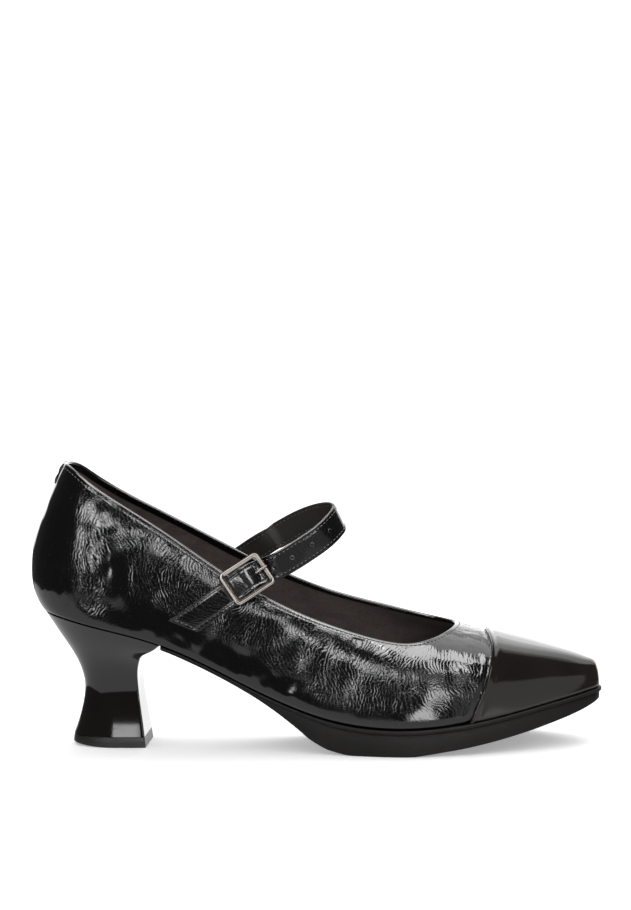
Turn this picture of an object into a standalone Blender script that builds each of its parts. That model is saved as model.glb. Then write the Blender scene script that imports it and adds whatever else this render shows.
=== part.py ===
"""Right shoe of a women's pump: a round-section spool heel, an almond toe with a stitched toe cap,
an open throat and one buckled strap over the instep.

All sizes are millimetres and are turned into metres when a mesh is made.  The shoe's own axes:
x runs from the back of the heel (0) to the toe tip, y from the outer side (minus) to the inner side (plus)
with 0 on the middle of the heel, and z up from the floor.  SHOE_CENTRE moves that frame so that the
finished parts have their origin on the floor under the middle of the shoe.
"""
import math

import bmesh
import bpy
import numpy as np

MM = 0.001
CLEAR = 0.3

# ---- driving sizes ---------------------------------------------------------------------------
LAST_LENGTH = 253.4
SHOE_CENTRE = (127.8, 0.0)
WALL = 1.7
UPPER_COLUMNS = 92
OUTER_LEVELS = 13
INNER_LEVELS = 10
LEVEL_CROWDING = 1.2
FLANGE_THICK = 1.3
FLANGE_SCALE = 0.66
FLANGE_SETBACK = 10.0
LINING_FOOT = 1.8
INSOLE_THICK = 2.2
INSOLE_INSET = 0.7
CAP_THICK = 0.8
CAP_CLEAR = 0.4
CAP_ROWS = 9
CAP_COLUMNS = 39
LIP_OUT = 0.7
LIP_HEIGHT = 1.6
LIP_STEP = 0.9
SOLE_TAPER = 0.1
SOLE_EDGE_ROUND = 0.9
SOLE_STATIONS = 73
SOLE_CROWDING = 0.86
BREAST_X = 60.5
BREAST_ROUND = 1.2
BREAST_TAPER = 0.93
HEEL_LEVELS = 17
HEEL_TIP_THICK = 4.6
HEEL_TIP_BEVEL = 1.5
HEEL_TIP_FLARE = 0.4
SEAT_INSET = 0.5
STRAP_WIDTH = 11.8
STRAP_THICK = 1.5
TAB_THICK = 1.2
BACK_FADE = 70.0
# x where the lip starts and is full, and where the sole starts to widen for the toe cap and has done so
LIP_FADE = (105.0, 150.0)
CAP_FADE = (186.0, 200.0)

# ---- the last --------------------------------------------------------------------------------
# x, middle of the section, outer and inner half width at the feather edge, height of the ridge over the
# feather edge, shift of the ridge to the inner side, flare of the outer and the inner wall
LAST = [
    (0.0, 0.0, 0.0, 0.0, 85.0, 0.0, 0.0, 0.0),
    (3.0, 0.0, 10.6, 10.6, 85.0, 0.0, 1.0, 1.0),
    (12.0, 0.0, 19.0, 18.8, 84.0, 0.2, 2.0, 2.0),
    (30.0, 0.0, 24.6, 24.0, 80.5, 0.8, 2.4, 2.6),
    (55.0, 0.0, 25.3, 23.2, 75.0, 1.8, 3.0, 4.6),
    (80.0, 0.0, 24.2, 19.0, 69.5, 2.6, 4.4, 9.0),
    (105.0, 0.0, 25.0, 17.0, 64.5, 3.0, 4.8, 11.0),
    (130.0, 0.0, 29.6, 19.2, 59.6, 3.4, 3.6, 9.0),
    (150.0, 0.0, 34.0, 24.4, 55.0, 3.8, 2.4, 5.6),
    (170.0, 0.6, 37.4, 30.9, 47.6, 3.8, 1.6, 3.0),
    (190.0, 1.8, 35.6, 34.9, 39.7, 3.0, 1.2, 1.6),
    (205.0, 2.7, 31.2, 33.0, 33.9, 2.0, 1.0, 1.0),
    (220.0, 3.3, 25.0, 27.0, 27.3, 1.0, 0.8, 0.8),
    (233.0, 3.7, 18.3, 19.8, 21.3, 0.4, 0.6, 0.6),
    (243.0, 3.9, 12.6, 13.4, 16.1, 0.1, 0.4, 0.4),
    (249.4, 4.0, 7.8, 8.2, 12.4, 0.0, 0.2, 0.2),
    (252.5, 4.0, 4.2, 4.4, 9.0, 0.0, 0.1, 0.1),
    (LAST_LENGTH, 4.0, 0.0, 0.0, 0.0, 0.0, 0.0, 0.0),
]
SIDE_FULLNESS = 0.34
TOP_FULLNESS = 0.10

# x, height of the feather edge over the floor
FEATHER = [
    (0.0, 62.2), (5.5, 61.6), (15.0, 60.2), (25.0, 58.0), (40.0, 54.5), (55.0, 50.3), (70.0, 44.4),
    (85.0, 37.0), (100.0, 29.2), (115.0, 22.4), (130.0, 17.0), (145.0, 13.7), (160.0, 12.4),
    (175.0, 12.4), (190.0, 13.4), (205.0, 15.3), (220.0, 18.0), (235.0, 21.0), (247.0, 23.4), (254.0, 24.8),
]
# height over the feather edge, how far the back of the heel lies in front of its rearmost point
BACK_CURVE = [
    (0.0, 5.6), (5.0, 2.8), (12.0, 0.7), (19.0, 0.2), (29.0, 1.4), (38.0, 4.1), (46.0, 7.1), (54.0, 10.6),
    (62.0, 14.2), (70.0, 18.4), (85.0, 27.0),
]
# the top line as a loop: distance from the back, angle round the section from the outer feather edge
COLLAR = [
    (0.0, 48.3), (8.0, 48.9), (21.0, 47.8), (34.0, 46.4), (50.0, 44.2), (67.0, 42.0), (86.0, 40.4),
    (107.0, 41.3), (137.0, 43.9), (155.0, 45.0), (167.0, 47.4), (178.0, 54.5), (187.0, 70.0), (190.5, 90.0),
    (187.0, 105.0), (178.0, 113.0), (165.0, 117.8), (150.0, 121.8), (130.0, 125.4), (107.0, 130.0),
    (86.0, 134.9), (67.0, 137.6), (50.0, 138.0), (34.0, 136.8), (21.0, 135.1), (8.0, 133.0), (0.0, 131.7),
]
# x, height of the sole's underside
TREAD = [
    (58.0, 47.9), (71.0, 41.9), (83.0, 35.9), (100.0, 26.3), (110.0, 19.8), (121.0, 11.6), (128.0, 6.0),
    (137.0, 1.7), (147.0, 0.0), (172.0, 0.0), (181.0, 0.9), (190.0, 2.1), (197.0, 3.2), (208.0, 5.1),
    (223.0, 8.4), (232.0, 10.8), (242.0, 13.9), (249.0, 16.6), (256.0, 20.4),
]
# share of the heel's height, then the height at the back and at the breast, and x of both, and half width
HEEL = [
    (0.00, 4.9, 4.9, 17.4, 51.0, 13.4),
    (0.14, 12.0, 12.0, 20.0, 50.1, 12.0),
    (0.30, 20.5, 20.5, 22.2, 49.0, 10.9),
    (0.44, 28.0, 28.0, 22.8, 48.4, 10.9),
    (0.57, 36.0, 34.5, 20.9, 48.5, 12.4),
    (0.70, 44.0, 39.6, 16.9, 49.8, 15.6),
    (0.82, 51.0, 43.0, 12.5, 52.4, 19.2),
    (0.91, 56.0, 45.2, 9.4, 56.6, 22.2),
]
# angle round the section from the outer feather edge, x of the toe cap's seam there
CAP_SEAM = [
    (0.0, 198.6), (12.0, 202.0), (28.0, 205.8), (45.0, 207.6), (60.0, 207.8), (75.0, 206.4), (90.0, 204.2),
    (110.0, 202.4), (130.0, 202.0), (150.0, 200.6), (166.0, 197.6), (180.0, 194.6),
]
# the strap's middle: x, y, z, from its tail under the buckle over the instep to its inner end
STRAP = [
    (91.0, -23.0, 71.6), (99.6, -22.8, 76.8), (109.2, -22.2, 81.4), (117.9, -19.9, 85.6),
    (126.2, -16.3, 90.4), (133.0, -12.0, 94.8), (137.6, -6.4, 98.8), (139.5, 0.0, 101.6),
    (136.8, 6.6, 102.4), (130.6, 12.0, 101.2),
    (123.2, 16.0, 98.4), (116.2, 19.0, 94.8), (109.4, 21.2, 90.8), (102.6, 22.8, 86.6), (92.2, 24.2, 79.6),
    (84.0, 24.6, 74.4), (76.0, 24.8, 69.4),
]
STRAP_LEAN = 26.0
STRAP_STATIONS = 64
# x over which the strap leaves the quarter, and how far its inner end stands off it
OUTER_LEAVES = (101.0, 115.0)
INNER_LEAVES = (97.0, 111.0)
INNER_GAP = 0.5
BUCKLE_AT = (99.9, 77.0)
BUCKLE_TURN = 31.0
BUCKLE_SIZE = (20.8, 17.0)
BUCKLE_BAR = 2.1
BUCKLE_THICK = 1.8
BUCKLE_ROUND = 2.2
BUCKLE_INNER_ROUND = 1.0
BUCKLE_BEVEL = 0.5
BUCKLE_RAIL = 1.4
RAIL_DEPTH = 1.2
LEG_THICK = 1.65
BUCKLE_RISE = 4.0
# distance past the frame's outer edge, height over its underside, and radius of the prong
PRONG = [(-6.0, 1.6, 0.45), (-5.0, 2.2, 0.6), (-4.0, 2.7, 0.65), (0.2, 2.8, 0.6)]
PILLOW = 1.5
PILLOW_REACH = 6.5
TAB_START = (71.4, 57.4)
TAB_WIDTH = 12.0
TAB_SLANT = 7.8
BACK_TAB_HEIGHT = 9.5
BACK_TAB_HALF = 0.036
BACK_TAB_THICK = 0.9


def spline(xs, ys, x):
    """Natural cubic spline through (xs, ys): solve M for the second derivatives, then per span
    y = A y0 + B y1 + ((A^3 - A) M0 + (B^3 - B) M1) h^2 / 6 with A = (x1 - x) / h and B = 1 - A."""
    xs = np.asarray(xs, float)
    ys = np.asarray(ys, float)
    gap = np.diff(xs)
    count = len(xs)
    matrix = np.eye(count)
    right = np.zeros(count)
    for i in range(1, count - 1):
        matrix[i, i - 1:i + 2] = gap[i - 1] / 6, (gap[i - 1] + gap[i]) / 3, gap[i] / 6
        right[i] = (ys[i + 1] - ys[i]) / gap[i] - (ys[i] - ys[i - 1]) / gap[i - 1]
    bend = np.linalg.solve(matrix, right)
    span = np.clip(np.searchsorted(xs, x) - 1, 0, count - 2)
    near = (xs[span + 1] - x) / gap[span]
    far = 1 - near
    curve = ((near**3 - near) * bend[span] + (far**3 - far) * bend[span + 1]) * gap[span] ** 2 / 6
    return near * ys[span] + far * ys[span + 1] + curve


def tame(xs, ys, x):
    """Cubic through (xs, ys) that never overshoots: each slope is the harmonic mean of its two spans,
    or 0 where they turn, so that a flat stretch stays exactly flat."""
    xs = np.asarray(xs, float)
    ys = np.asarray(ys, float)
    gap = np.diff(xs)
    rise = np.diff(ys) / gap
    same = rise[1:] * rise[:-1] > 0
    mean = np.where(same, 2 * rise[1:] * rise[:-1] / np.where(same, rise[1:] + rise[:-1], 1), 0)
    slope = np.concatenate([[rise[0]], mean, [rise[-1]]])
    span = np.clip(np.searchsorted(xs, x) - 1, 0, len(xs) - 2)
    t = (x - xs[span]) / gap[span]
    low = (1 + 2 * t) * (1 - t) ** 2 * ys[span] + t * (1 - t) ** 2 * gap[span] * slope[span]
    high = t * t * (3 - 2 * t) * ys[span + 1] + t * t * (t - 1) * gap[span] * slope[span + 1]
    return low + high


def ease(low, high, x):
    """0 below low, 1 above high, 3t^2 - 2t^3 between."""
    t = np.clip((x - low) / (high - low), 0, 1)
    return t * t * (3 - 2 * t)


def column(rows, index):
    return [row[index] for row in rows]


# ---- the last's surface ----------------------------------------------------------------------
def toe_share(x):
    """Inverse of x = L cos^2(pi r / 2): r is 0 at the toe tip and 1 at the back of the heel."""
    return np.arccos(np.sqrt(np.clip(np.asarray(x, float) / LAST_LENGTH, 0, 1))) * 2 / math.pi


def last_column(index, heel_sign, toe_sign, r):
    """A column of LAST as a smooth function of r, mirrored past both ends with the given signs."""
    at = toe_share(column(LAST, 0))[::-1]
    value = np.array(column(LAST, index), float)[::-1]
    xs = np.concatenate([-at[3:0:-1], at, 2 - at[-2:-5:-1]])
    ys = np.concatenate([toe_sign * value[3:0:-1], value, heel_sign * value[-2:-5:-1]])
    return spline(xs, ys, r)


def feather_height(x):
    return spline(column(FEATHER, 0), column(FEATHER, 1), x)


def back_shift(height, x):
    """How far the heel's back curve pushes a point forward; it fades out by BACK_FADE."""
    fade = np.clip(1 - x / BACK_FADE, 0, 1) ** 2
    return spline(column(BACK_CURVE, 0), column(BACK_CURVE, 1), height) * fade


def last_point(u, w, out=0.0):
    """Point of the last's surface at the disc coordinates u = r cos(psi), w = r sin(psi).
    With c = cos(psi) and s = sin(psi), where psi is 0 at the outer and pi at the inner feather edge:
      y = middle - c W (1 + k s^2) - flare s c + ridge s^2,   z = feather + H s (1 + m c^2).
    W and flare pass from the outer to the inner value as (1 +- g) / 2 with g = c (3 - c^2) / 2.
    out moves the point along the outward normal."""
    u, w = np.broadcast_arrays(np.asarray(u, float), np.asarray(w, float))
    if np.any(out):
        step = 1e-3
        du = last_point(u + step, w) - last_point(u - step, w)
        dw = last_point(u, w + step) - last_point(u, w - step)
        normal = np.cross(dw, du)
        normal /= np.linalg.norm(normal, axis=-1, keepdims=True)
        return last_point(u, w) + normal * np.asarray(out)[..., None]
    r = np.hypot(u, w)
    safe = np.where(r < 1e-9, 1, r)
    c = np.where(r < 1e-9, 1, u / safe)
    s = np.where(r < 1e-9, 0, w / safe)
    g = c * (3 - c * c) / 2
    width = (1 + g) / 2 * last_column(2, -1, -1, r) + (1 - g) / 2 * last_column(3, -1, -1, r)
    flare = (1 + g) / 2 * last_column(6, -1, -1, r) + (1 - g) / 2 * last_column(7, -1, -1, r)
    height = last_column(4, 1, -1, r) * s * (1 + TOP_FULLNESS * c * c)
    x = LAST_LENGTH * np.cos(math.pi * r / 2) ** 2
    base = feather_height(x + back_shift(0.0, x))
    y = last_column(1, 1, 1, r) - c * width * (1 + SIDE_FULLNESS * s * s) - flare * s * c
    y = y + last_column(5, 1, 1, r) * s * s
    return np.stack([x + back_shift(height, x), y, base + height], axis=-1)


def even_spacing(points, count):
    """Parameters 0..1 that put count points evenly along a finely sampled path."""
    steps = np.linalg.norm(np.diff(points, axis=0), axis=1)
    run = np.concatenate([[0], np.cumsum(steps)])
    return np.interp(np.linspace(0, run[-1], count), run, np.linspace(0, 1, len(points)))


def feather_disc(t):
    """Feather edge from the outer side of the back (t 0) round the toe to the inner side (t 1)."""
    return 1 - 2 * t, 0 * t


def collar_disc(t):
    """Top line, a smooth loop through COLLAR with its knots a chord apart."""
    r = toe_share(column(COLLAR, 0))
    angle = np.radians(column(COLLAR, 1))
    loop = np.stack([r * np.cos(angle), r * np.sin(angle)], -1)
    chord = np.concatenate([[0], np.cumsum(np.linalg.norm(np.diff(loop, axis=0), axis=1))])
    knots = chord / chord[-1]
    return spline(knots, loop[:, 0], t), spline(knots, loop[:, 1], t)


def upper_disc(a, b):
    """Coons patch in the disc: a runs 0..1 round the shoe from the back over the outer side and the toe
    to the back again, b runs 0..1 from the feather edge to the top line."""
    fine = np.linspace(0, 1, 1200)
    low_t = np.interp(a, np.linspace(0, 1, 600), even_spacing(last_point(*feather_disc(fine)), 600))
    high_t = np.interp(a, np.linspace(0, 1, 600), even_spacing(last_point(*collar_disc(fine)), 600))
    low = np.stack(np.broadcast_arrays(*feather_disc(low_t)), -1)
    high = np.stack(collar_disc(high_t), -1)
    angle = math.radians(COLLAR[0][1]) * b
    start = np.stack([np.cos(angle), np.sin(angle)], -1)
    end = start * np.array([-1, 1])
    a = a[..., None]
    b = b[..., None]
    corner = np.array([[1, 0], [-1, 0], start_top(), start_top() * np.array([-1, 1])])
    edges = (1 - b) * low + b * high + (1 - a) * start + a * end
    bilinear = (1 - a) * (1 - b) * corner[0] + a * (1 - b) * corner[1]
    bilinear = bilinear + (1 - a) * b * corner[2] + a * b * corner[3]
    return np.moveaxis(edges - bilinear, -1, 0)


def start_top():
    angle = math.radians(COLLAR[0][1])
    return np.array([math.cos(angle), math.sin(angle)])


# ---- meshes ----------------------------------------------------------------------------------
def grid_faces(rows, columns, wrap_rows=False, wrap_columns=False):
    """Quads of a grid whose vertex (i, j) has the number i * columns + j."""
    i = np.arange(rows if wrap_rows else rows - 1)[:, None]
    j = np.arange(columns if wrap_columns else columns - 1)[None, :]
    i, j = np.broadcast_arrays(i, j)
    down = (i + 1) % rows
    along = (j + 1) % columns
    quads = [i * columns + j, i * columns + along, down * columns + along, down * columns + j]
    return np.stack(quads, -1).reshape(-1, 4)


def material(name, colour, roughness, metallic=0.0, coat=0.0):
    made = bpy.data.materials.new(name)
    made.use_nodes = True
    made.diffuse_color = (*colour, 1)
    shader = made.node_tree.nodes["Principled BSDF"]
    shader.inputs["Base Color"].default_value = (*colour, 1)
    shader.inputs["Roughness"].default_value = roughness
    shader.inputs["Metallic"].default_value = metallic
    shader.inputs["Coat Weight"].default_value = coat
    return made


def closed_object(name, points, faces, look):
    """One closed mesh from points in the shoe's millimetres; doubled points are merged and the faces
    turned outwards."""
    shift = np.array([SHOE_CENTRE[0], SHOE_CENTRE[1], 0])
    mesh = bpy.data.meshes.new(name)
    mesh.from_pydata(((points.reshape(-1, 3) - shift) * MM).tolist(), [], [tuple(face) for face in faces])
    work = bmesh.new()
    work.from_mesh(mesh)
    bmesh.ops.remove_doubles(work, verts=work.verts, dist=2e-6)
    bmesh.ops.triangulate(work, faces=work.faces)
    bmesh.ops.recalc_face_normals(work, faces=work.faces)
    work.to_mesh(mesh)
    work.free()
    mesh.shade_smooth()
    mesh.set_sharp_from_angle(angle=math.radians(40))
    mesh.materials.append(look)
    made = bpy.data.objects.new(name, mesh)
    bpy.context.scene.collection.objects.link(made)
    return made


def sheet_object(name, top, bottom, look):
    """Closed slab between two grids of the same shape: both faces and the four edges between them."""
    rows, columns = top.shape[:2]
    count = rows * columns
    number = np.arange(count).reshape(rows, columns)
    rim = np.concatenate([number[0, :-1], number[:-1, -1], number[-1, :0:-1], number[:0:-1, 0]])
    after = np.roll(rim, -1)
    walls = np.stack([rim, after, after + count, rim + count], -1)
    face = grid_faces(rows, columns)
    points = np.concatenate([top.reshape(-1, 3), bottom.reshape(-1, 3)])
    return closed_object(name, points, np.concatenate([face, face[:, ::-1] + count, walls]), look)


def ringed_object(name, rings, look):
    """Closed solid from rings [level, point] that each run from the outer to the inner side, mirrored point
    for point: walls between levels, and caps and an end wall made of straps from side to side."""
    levels, count = rings.shape[:2]
    half = np.arange(count // 2)
    other = count - 1 - half
    across = np.stack([half, half + 1, other - 1, other], -1)[half + 1 <= other - 1]
    end = np.arange(levels - 1) * count
    back = np.stack([end, end + count, end + 2 * count - 1, end + count - 1], -1)
    walls = grid_faces(levels, count)
    faces = np.concatenate([walls, across, across[:, ::-1] + (levels - 1) * count, back])
    return closed_object(name, rings, faces, look)


# ---- looks -----------------------------------------------------------------------------------
def looks():
    return {
        "patent": material("crinkled_patent", (0.006, 0.006, 0.007), 0.16, coat=1.0),
        "cap": material("smooth_patent", (0.010, 0.009, 0.009), 0.10, coat=1.0),
        "lining": material("lining", (0.045, 0.034, 0.031), 0.80),
        "rubber": material("sole_rubber", (0.022, 0.021, 0.021), 0.55),
        "heel": material("heel_gloss", (0.008, 0.006, 0.006), 0.10, coat=1.0),
        "nickel": material("buckle_nickel", (0.80, 0.74, 0.68), 0.18, metallic=1.0),
    }


# ---- upper -----------------------------------------------------------------------------------
def disc_height(a, b):
    """Height over the feather edge at the patch parameters a, b."""
    u, w = upper_disc(a, b)
    r = np.hypot(u, w)
    x = LAST_LENGTH * np.cos(math.pi * r / 2) ** 2
    return last_point(u, w)[..., 2] - feather_height(x + back_shift(0.0, x))


def level_at(a, height):
    """The b at which each column a of the patch is the given height over the feather edge, by halving."""
    low = np.zeros_like(a)
    high = np.ones_like(a)
    for _ in range(24):
        middle = (low + high) / 2
        under = disc_height(a, middle) < height
        low = np.where(under, middle, low)
        high = np.where(under, high, middle)
    return (low + high) / 2


def bottom_outline(a, scale, setback):
    """The feather outline shrunk towards the middle line: widths by scale, both ends by setback."""
    edge = last_point(*upper_disc(a, np.zeros_like(a)))
    back = BACK_CURVE[0][1]
    share = (edge[..., 0] - back) / (LAST_LENGTH - back)
    x = back + setback + share * (LAST_LENGTH - back - 2 * setback)
    middle = last_column(1, 1, 1, toe_share(x))
    y = middle + (edge[..., 1] - last_column(1, 1, 1, toe_share(edge[..., 0]))) * scale
    return np.stack([x, y, feather_height(x)], -1)


def make_upper(look):
    """Hollow upper in one wall: outer skin down from the top line, the lasting margin turned in under the
    foot, and the lining face up to the top line again.  Each of the columns round the shoe is one loop."""
    outer_levels = np.linspace(0, 1, OUTER_LEVELS) ** LEVEL_CROWDING
    inner_levels = np.linspace(0, 1, INNER_LEVELS) ** LEVEL_CROWDING
    turn = np.arange(UPPER_COLUMNS) / UPPER_COLUMNS
    a = turn - 0.5 * np.sin(4 * math.pi * turn) / (4 * math.pi)
    grid_a = np.broadcast_to(a[:, None], (UPPER_COLUMNS, OUTER_LEVELS))
    u, w = upper_disc(grid_a, np.broadcast_to(outer_levels, grid_a.shape))
    outer = last_point(u, w)
    foot = level_at(a, LINING_FOOT)
    grid_b = foot[:, None] + (1 - foot[:, None]) * inner_levels[None, :]
    u, w = upper_disc(np.broadcast_to(a[:, None], grid_b.shape), grid_b)
    inner = last_point(u, w, -WALL * np.ones_like(grid_b))
    under = bottom_outline(a, FLANGE_SCALE, FLANGE_SETBACK)
    above = under + np.array([0, 0, FLANGE_THICK])
    edge, outward = edge_points(upper_disc(a, 0 * a)[0])
    crease = edge - outward * WALL + np.array([0, 0, FLANGE_THICK])
    loops = [outer[:, ::-1], under[:, None], above[:, None], crease[:, None], inner]
    points = np.concatenate(loops, axis=1)
    faces = grid_faces(UPPER_COLUMNS, points.shape[1], wrap_rows=True, wrap_columns=True)
    return closed_object("upper", points, faces, look["patent"])


# ---- toe cap ---------------------------------------------------------------------------------
def cap_seam_share(angle):
    """r of the cap's seam at the angle round the section."""
    return toe_share(spline(column(CAP_SEAM, 0), column(CAP_SEAM, 1), np.degrees(angle)))


def make_toe_cap(look):
    """Leather cap over the toe, from its seam to the feather edge."""
    angle = np.linspace(0, math.pi, CAP_COLUMNS)[:, None]
    level = np.linspace(0, 1, CAP_ROWS)[None, :] ** LEVEL_CROWDING
    r = cap_seam_share(angle)
    u = r * np.cos(angle) * np.ones_like(level)
    w = r * np.sin(angle) * level
    top = last_point(u, w, (CAP_CLEAR + CAP_THICK) * np.ones_like(u))
    bottom = last_point(u, w, CAP_CLEAR * np.ones_like(u))
    return sheet_object("toe_cap", top, bottom, look["cap"])


# ---- sole, insole, heel ----------------------------------------------------------------------
def edge_points(q):
    """Feather edge at the signed toe share q (plus on the outer side), and its outward direction in plan."""
    step = 1e-3
    flat = np.zeros_like(q)
    along = last_point(q + step, flat) - last_point(q - step, flat)
    outward = np.stack([-along[..., 1], along[..., 0], 0 * q], -1)
    outward /= np.linalg.norm(outward, axis=-1, keepdims=True)
    return last_point(q, flat), outward


def make_outsole(look):
    """Rubber sole from the breast of the heel to the toe: a lip under the upper, a step in to the wall, and
    a rounded lower edge."""
    reach = float(toe_share(BREAST_X + CLEAR))
    widest = math.pi / 2 * SOLE_CROWDING
    q = reach * np.sin(np.linspace(-widest, widest, SOLE_STATIONS)) / math.sin(widest)
    edge, outward = edge_points(-q)
    x = edge[:, 0]
    top = feather_height(x) - CLEAR
    depth = top - tame(column(TREAD, 0), column(TREAD, 1), x)
    front = ease(*LIP_FADE, x)
    lip = LIP_OUT * front + (CAP_CLEAR + CAP_THICK) * ease(*CAP_FADE, x)
    lip_depth = np.minimum(LIP_HEIGHT, depth * 0.4)
    wall = lip - LIP_STEP * front
    profile = [
        (lip - CLEAR, 0 * x),
        (lip, CLEAR + 0 * x),
        (lip, lip_depth),
        (wall, lip_depth + CLEAR),
        (wall - SOLE_TAPER, depth * 0.8),
        (wall - SOLE_EDGE_ROUND, depth),
    ]
    rings = [edge + outward * out[:, None] for out, _ in profile]
    for ring, (_, drop) in zip(rings, profile):
        ring[:, 2] = top - drop
    return ringed_object("outsole", np.stack(rings), look["rubber"])


def make_insole(look):
    """Insole board and sock lying on the lasting margin, just inside the upper's wall."""
    half = np.linspace(0.004, 0.5, 31)
    a = np.concatenate([half[:-1], 1 - half[::-1]])
    edge, outward = edge_points(upper_disc(a, 0 * a)[0])
    low = edge - outward * (WALL + INSOLE_INSET)
    low[:, 2] = feather_height(low[:, 0]) + FLANGE_THICK + CLEAR
    high = low + np.array([0, 0, INSOLE_THICK])
    return ringed_object("insole", np.stack([high, low]), look["lining"])


def seat_ring():
    """Outline of the heel seat from the outer breast corner round the back to the inner one."""
    reach = float(toe_share(BREAST_X - BREAST_ROUND))
    turn = np.linspace(-1, 1, 33)
    share = reach + (1 - reach) * np.sin((1 - np.abs(turn)) * math.pi / 2)
    u = np.where(turn < 0, share, -share)
    edge, outward = edge_points(u)
    ring = edge - outward * SEAT_INSET
    corners = ring[[0, -1]] * np.array([1, BREAST_TAPER, 1]) + np.array([BREAST_ROUND - CLEAR, 0, 0])
    return np.concatenate([corners[:1], ring, corners[1:]])


def heel_ring(seat, x_back, x_front, half_width, z_back, z_front):
    """The seat's outline scaled to one level of the heel."""
    seat_back = seat[:, 0].min()
    seat_front = seat[:, 0].max()
    share = (seat[:, 0] - seat_back) / (seat_front - seat_back)
    width = np.abs(seat[:, 1]).max()
    z = z_back + (z_front - z_back) * share
    return np.stack([x_back + share * (x_front - x_back), seat[:, 1] * half_width / width, z], -1)


def make_heel(look):
    """Spool heel: the seat's outline narrowing to a waist and spreading again to the floor."""
    seat = seat_ring()
    shares = np.linspace(0, 1, HEEL_LEVELS)
    known = column(HEEL, 0) + [1.0]
    back_x = column(HEEL, 3) + [seat[:, 0].min()]
    front_x = column(HEEL, 4) + [seat[:, 0].max()]
    back_z = column(HEEL, 1) + [float(feather_height(seat[:, 0].min())) - CLEAR]
    front_z = column(HEEL, 2) + [float(feather_height(seat[:, 0].max())) - CLEAR]
    width = column(HEEL, 5) + [np.abs(seat[:, 1]).max()]
    rings = []
    for share in shares:
        sizes = [float(spline(known, row, share)) for row in (back_x, front_x, width, back_z, front_z)]
        rings.append(heel_ring(seat, *sizes))
    rings[-1] = seat.copy()
    rings[-1][:, 2] = feather_height(seat[:, 0]) - CLEAR
    return ringed_object("heel", np.stack(rings[::-1]), look["heel"])


def make_heel_tip(look):
    """Top piece of the heel, flat on the floor at the front and bevelled up towards the back."""
    seat = seat_ring()
    _, _, _, x_back, x_front, half_width = HEEL[0]
    top = heel_ring(seat, x_back, x_front, half_width, HEEL_TIP_THICK, HEEL_TIP_THICK)
    flare = HEEL_TIP_FLARE
    low = heel_ring(seat, x_back - flare, x_front + flare, half_width + flare, 0, 0)
    share = (low[:, 0] - low[:, 0].min()) / np.ptp(low[:, 0])
    low[:, 2] = HEEL_TIP_BEVEL * np.clip(1 - 2 * share, 0, 1) ** 1.5
    return ringed_object("heel_tip", np.stack([top, low]), look["rubber"])


# ---- strap, tab, buckle ----------------------------------------------------------------------
def side_point(x, z, side, out):
    """Point of the quarter's surface (side 1 outer, -1 inner) at x and height z, moved outwards by out.
    The angle is found by halving, because the height grows steadily from the feather edge to the ridge."""
    r = toe_share(x)
    low = np.zeros_like(r)
    high = np.full_like(r, math.pi * 0.47)
    for _ in range(30):
        angle = (low + high) / 2
        under = last_point(r * np.cos(angle) * side, r * np.sin(angle))[..., 2] < z
        low = np.where(under, angle, low)
        high = np.where(under, high, angle)
    return last_point(r * np.cos(low) * side, r * np.sin(low), out)


def strap_middle(t):
    knots = np.linspace(0, 1, len(STRAP))
    return np.stack([spline(knots, column(STRAP, k), t) for k in range(3)], -1)


def strap_surface(rows, across, out):
    """Grid [along, across] of the strap, its face a distance out from its middle.  The band leans forward by
    STRAP_LEAN, lies on the tab at its outer end and on the quarter at its inner end, and rises as a pillow
    over the buckle's middle bar."""
    fine = np.linspace(0, 1, 2000)
    t = np.interp(np.linspace(0, 1, rows), np.linspace(0, 1, 2000), even_spacing(strap_middle(fine), 2000))
    middle = strap_middle(t)
    along = np.gradient(middle, axis=0)
    along /= np.linalg.norm(along, axis=1, keepdims=True)
    lean = math.radians(STRAP_LEAN)
    down = np.array([math.sin(lean), 0, -math.cos(lean)])
    width = down - along * (along @ down)[:, None]
    width /= np.linalg.norm(width, axis=1, keepdims=True)
    face = np.cross(width, along)
    half = np.linspace(-0.5, 0.5, across)[None, :, None] * STRAP_WIDTH
    free = middle[:, None] + half * width[:, None] + face[:, None] * out
    from_buckle = np.linalg.norm(middle - strap_middle(np.array([1 / (len(STRAP) - 1)])), axis=1)
    pillow = PILLOW * np.cos(np.clip(from_buckle / PILLOW_REACH, 0, 1) * math.pi / 2) ** 2
    on_tab = 2 * CLEAR + TAB_THICK + STRAP_THICK / 2 + pillow
    on_quarter = np.full(rows, INNER_GAP + STRAP_THICK / 2)
    outer_side = middle[:, 1] < 0
    seat = np.where(outer_side[:, None], side_point(middle[:, 0], middle[:, 2], 1, np.zeros(rows)),
                    side_point(middle[:, 0], middle[:, 2], -1, np.zeros(rows)))
    above = np.where(outer_side[:, None], side_point(middle[:, 0], middle[:, 2], 1, np.ones(rows)),
                     side_point(middle[:, 0], middle[:, 2], -1, np.ones(rows)))
    normal = above - seat
    lift = np.where(outer_side, on_tab, on_quarter)
    cross = np.cross(along, normal)
    cross /= np.linalg.norm(cross, axis=1, keepdims=True)
    landed = seat[:, None] + half * cross[:, None] + normal[:, None] * (lift + out)[:, None, None]
    weight = 1 - np.where(outer_side, ease(*OUTER_LEAVES, middle[:, 0]), ease(*INNER_LEAVES, middle[:, 0]))
    weight = weight[:, None, None]
    return landed * weight + free * (1 - weight)


def make_strap(look):
    """Strap over the instep, one band from its tail under the buckle to its inner end."""
    top = strap_surface(STRAP_STATIONS, 4, STRAP_THICK / 2)
    bottom = strap_surface(STRAP_STATIONS, 4, -STRAP_THICK / 2)
    return sheet_object("strap", top, bottom, look["patent"])


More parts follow.
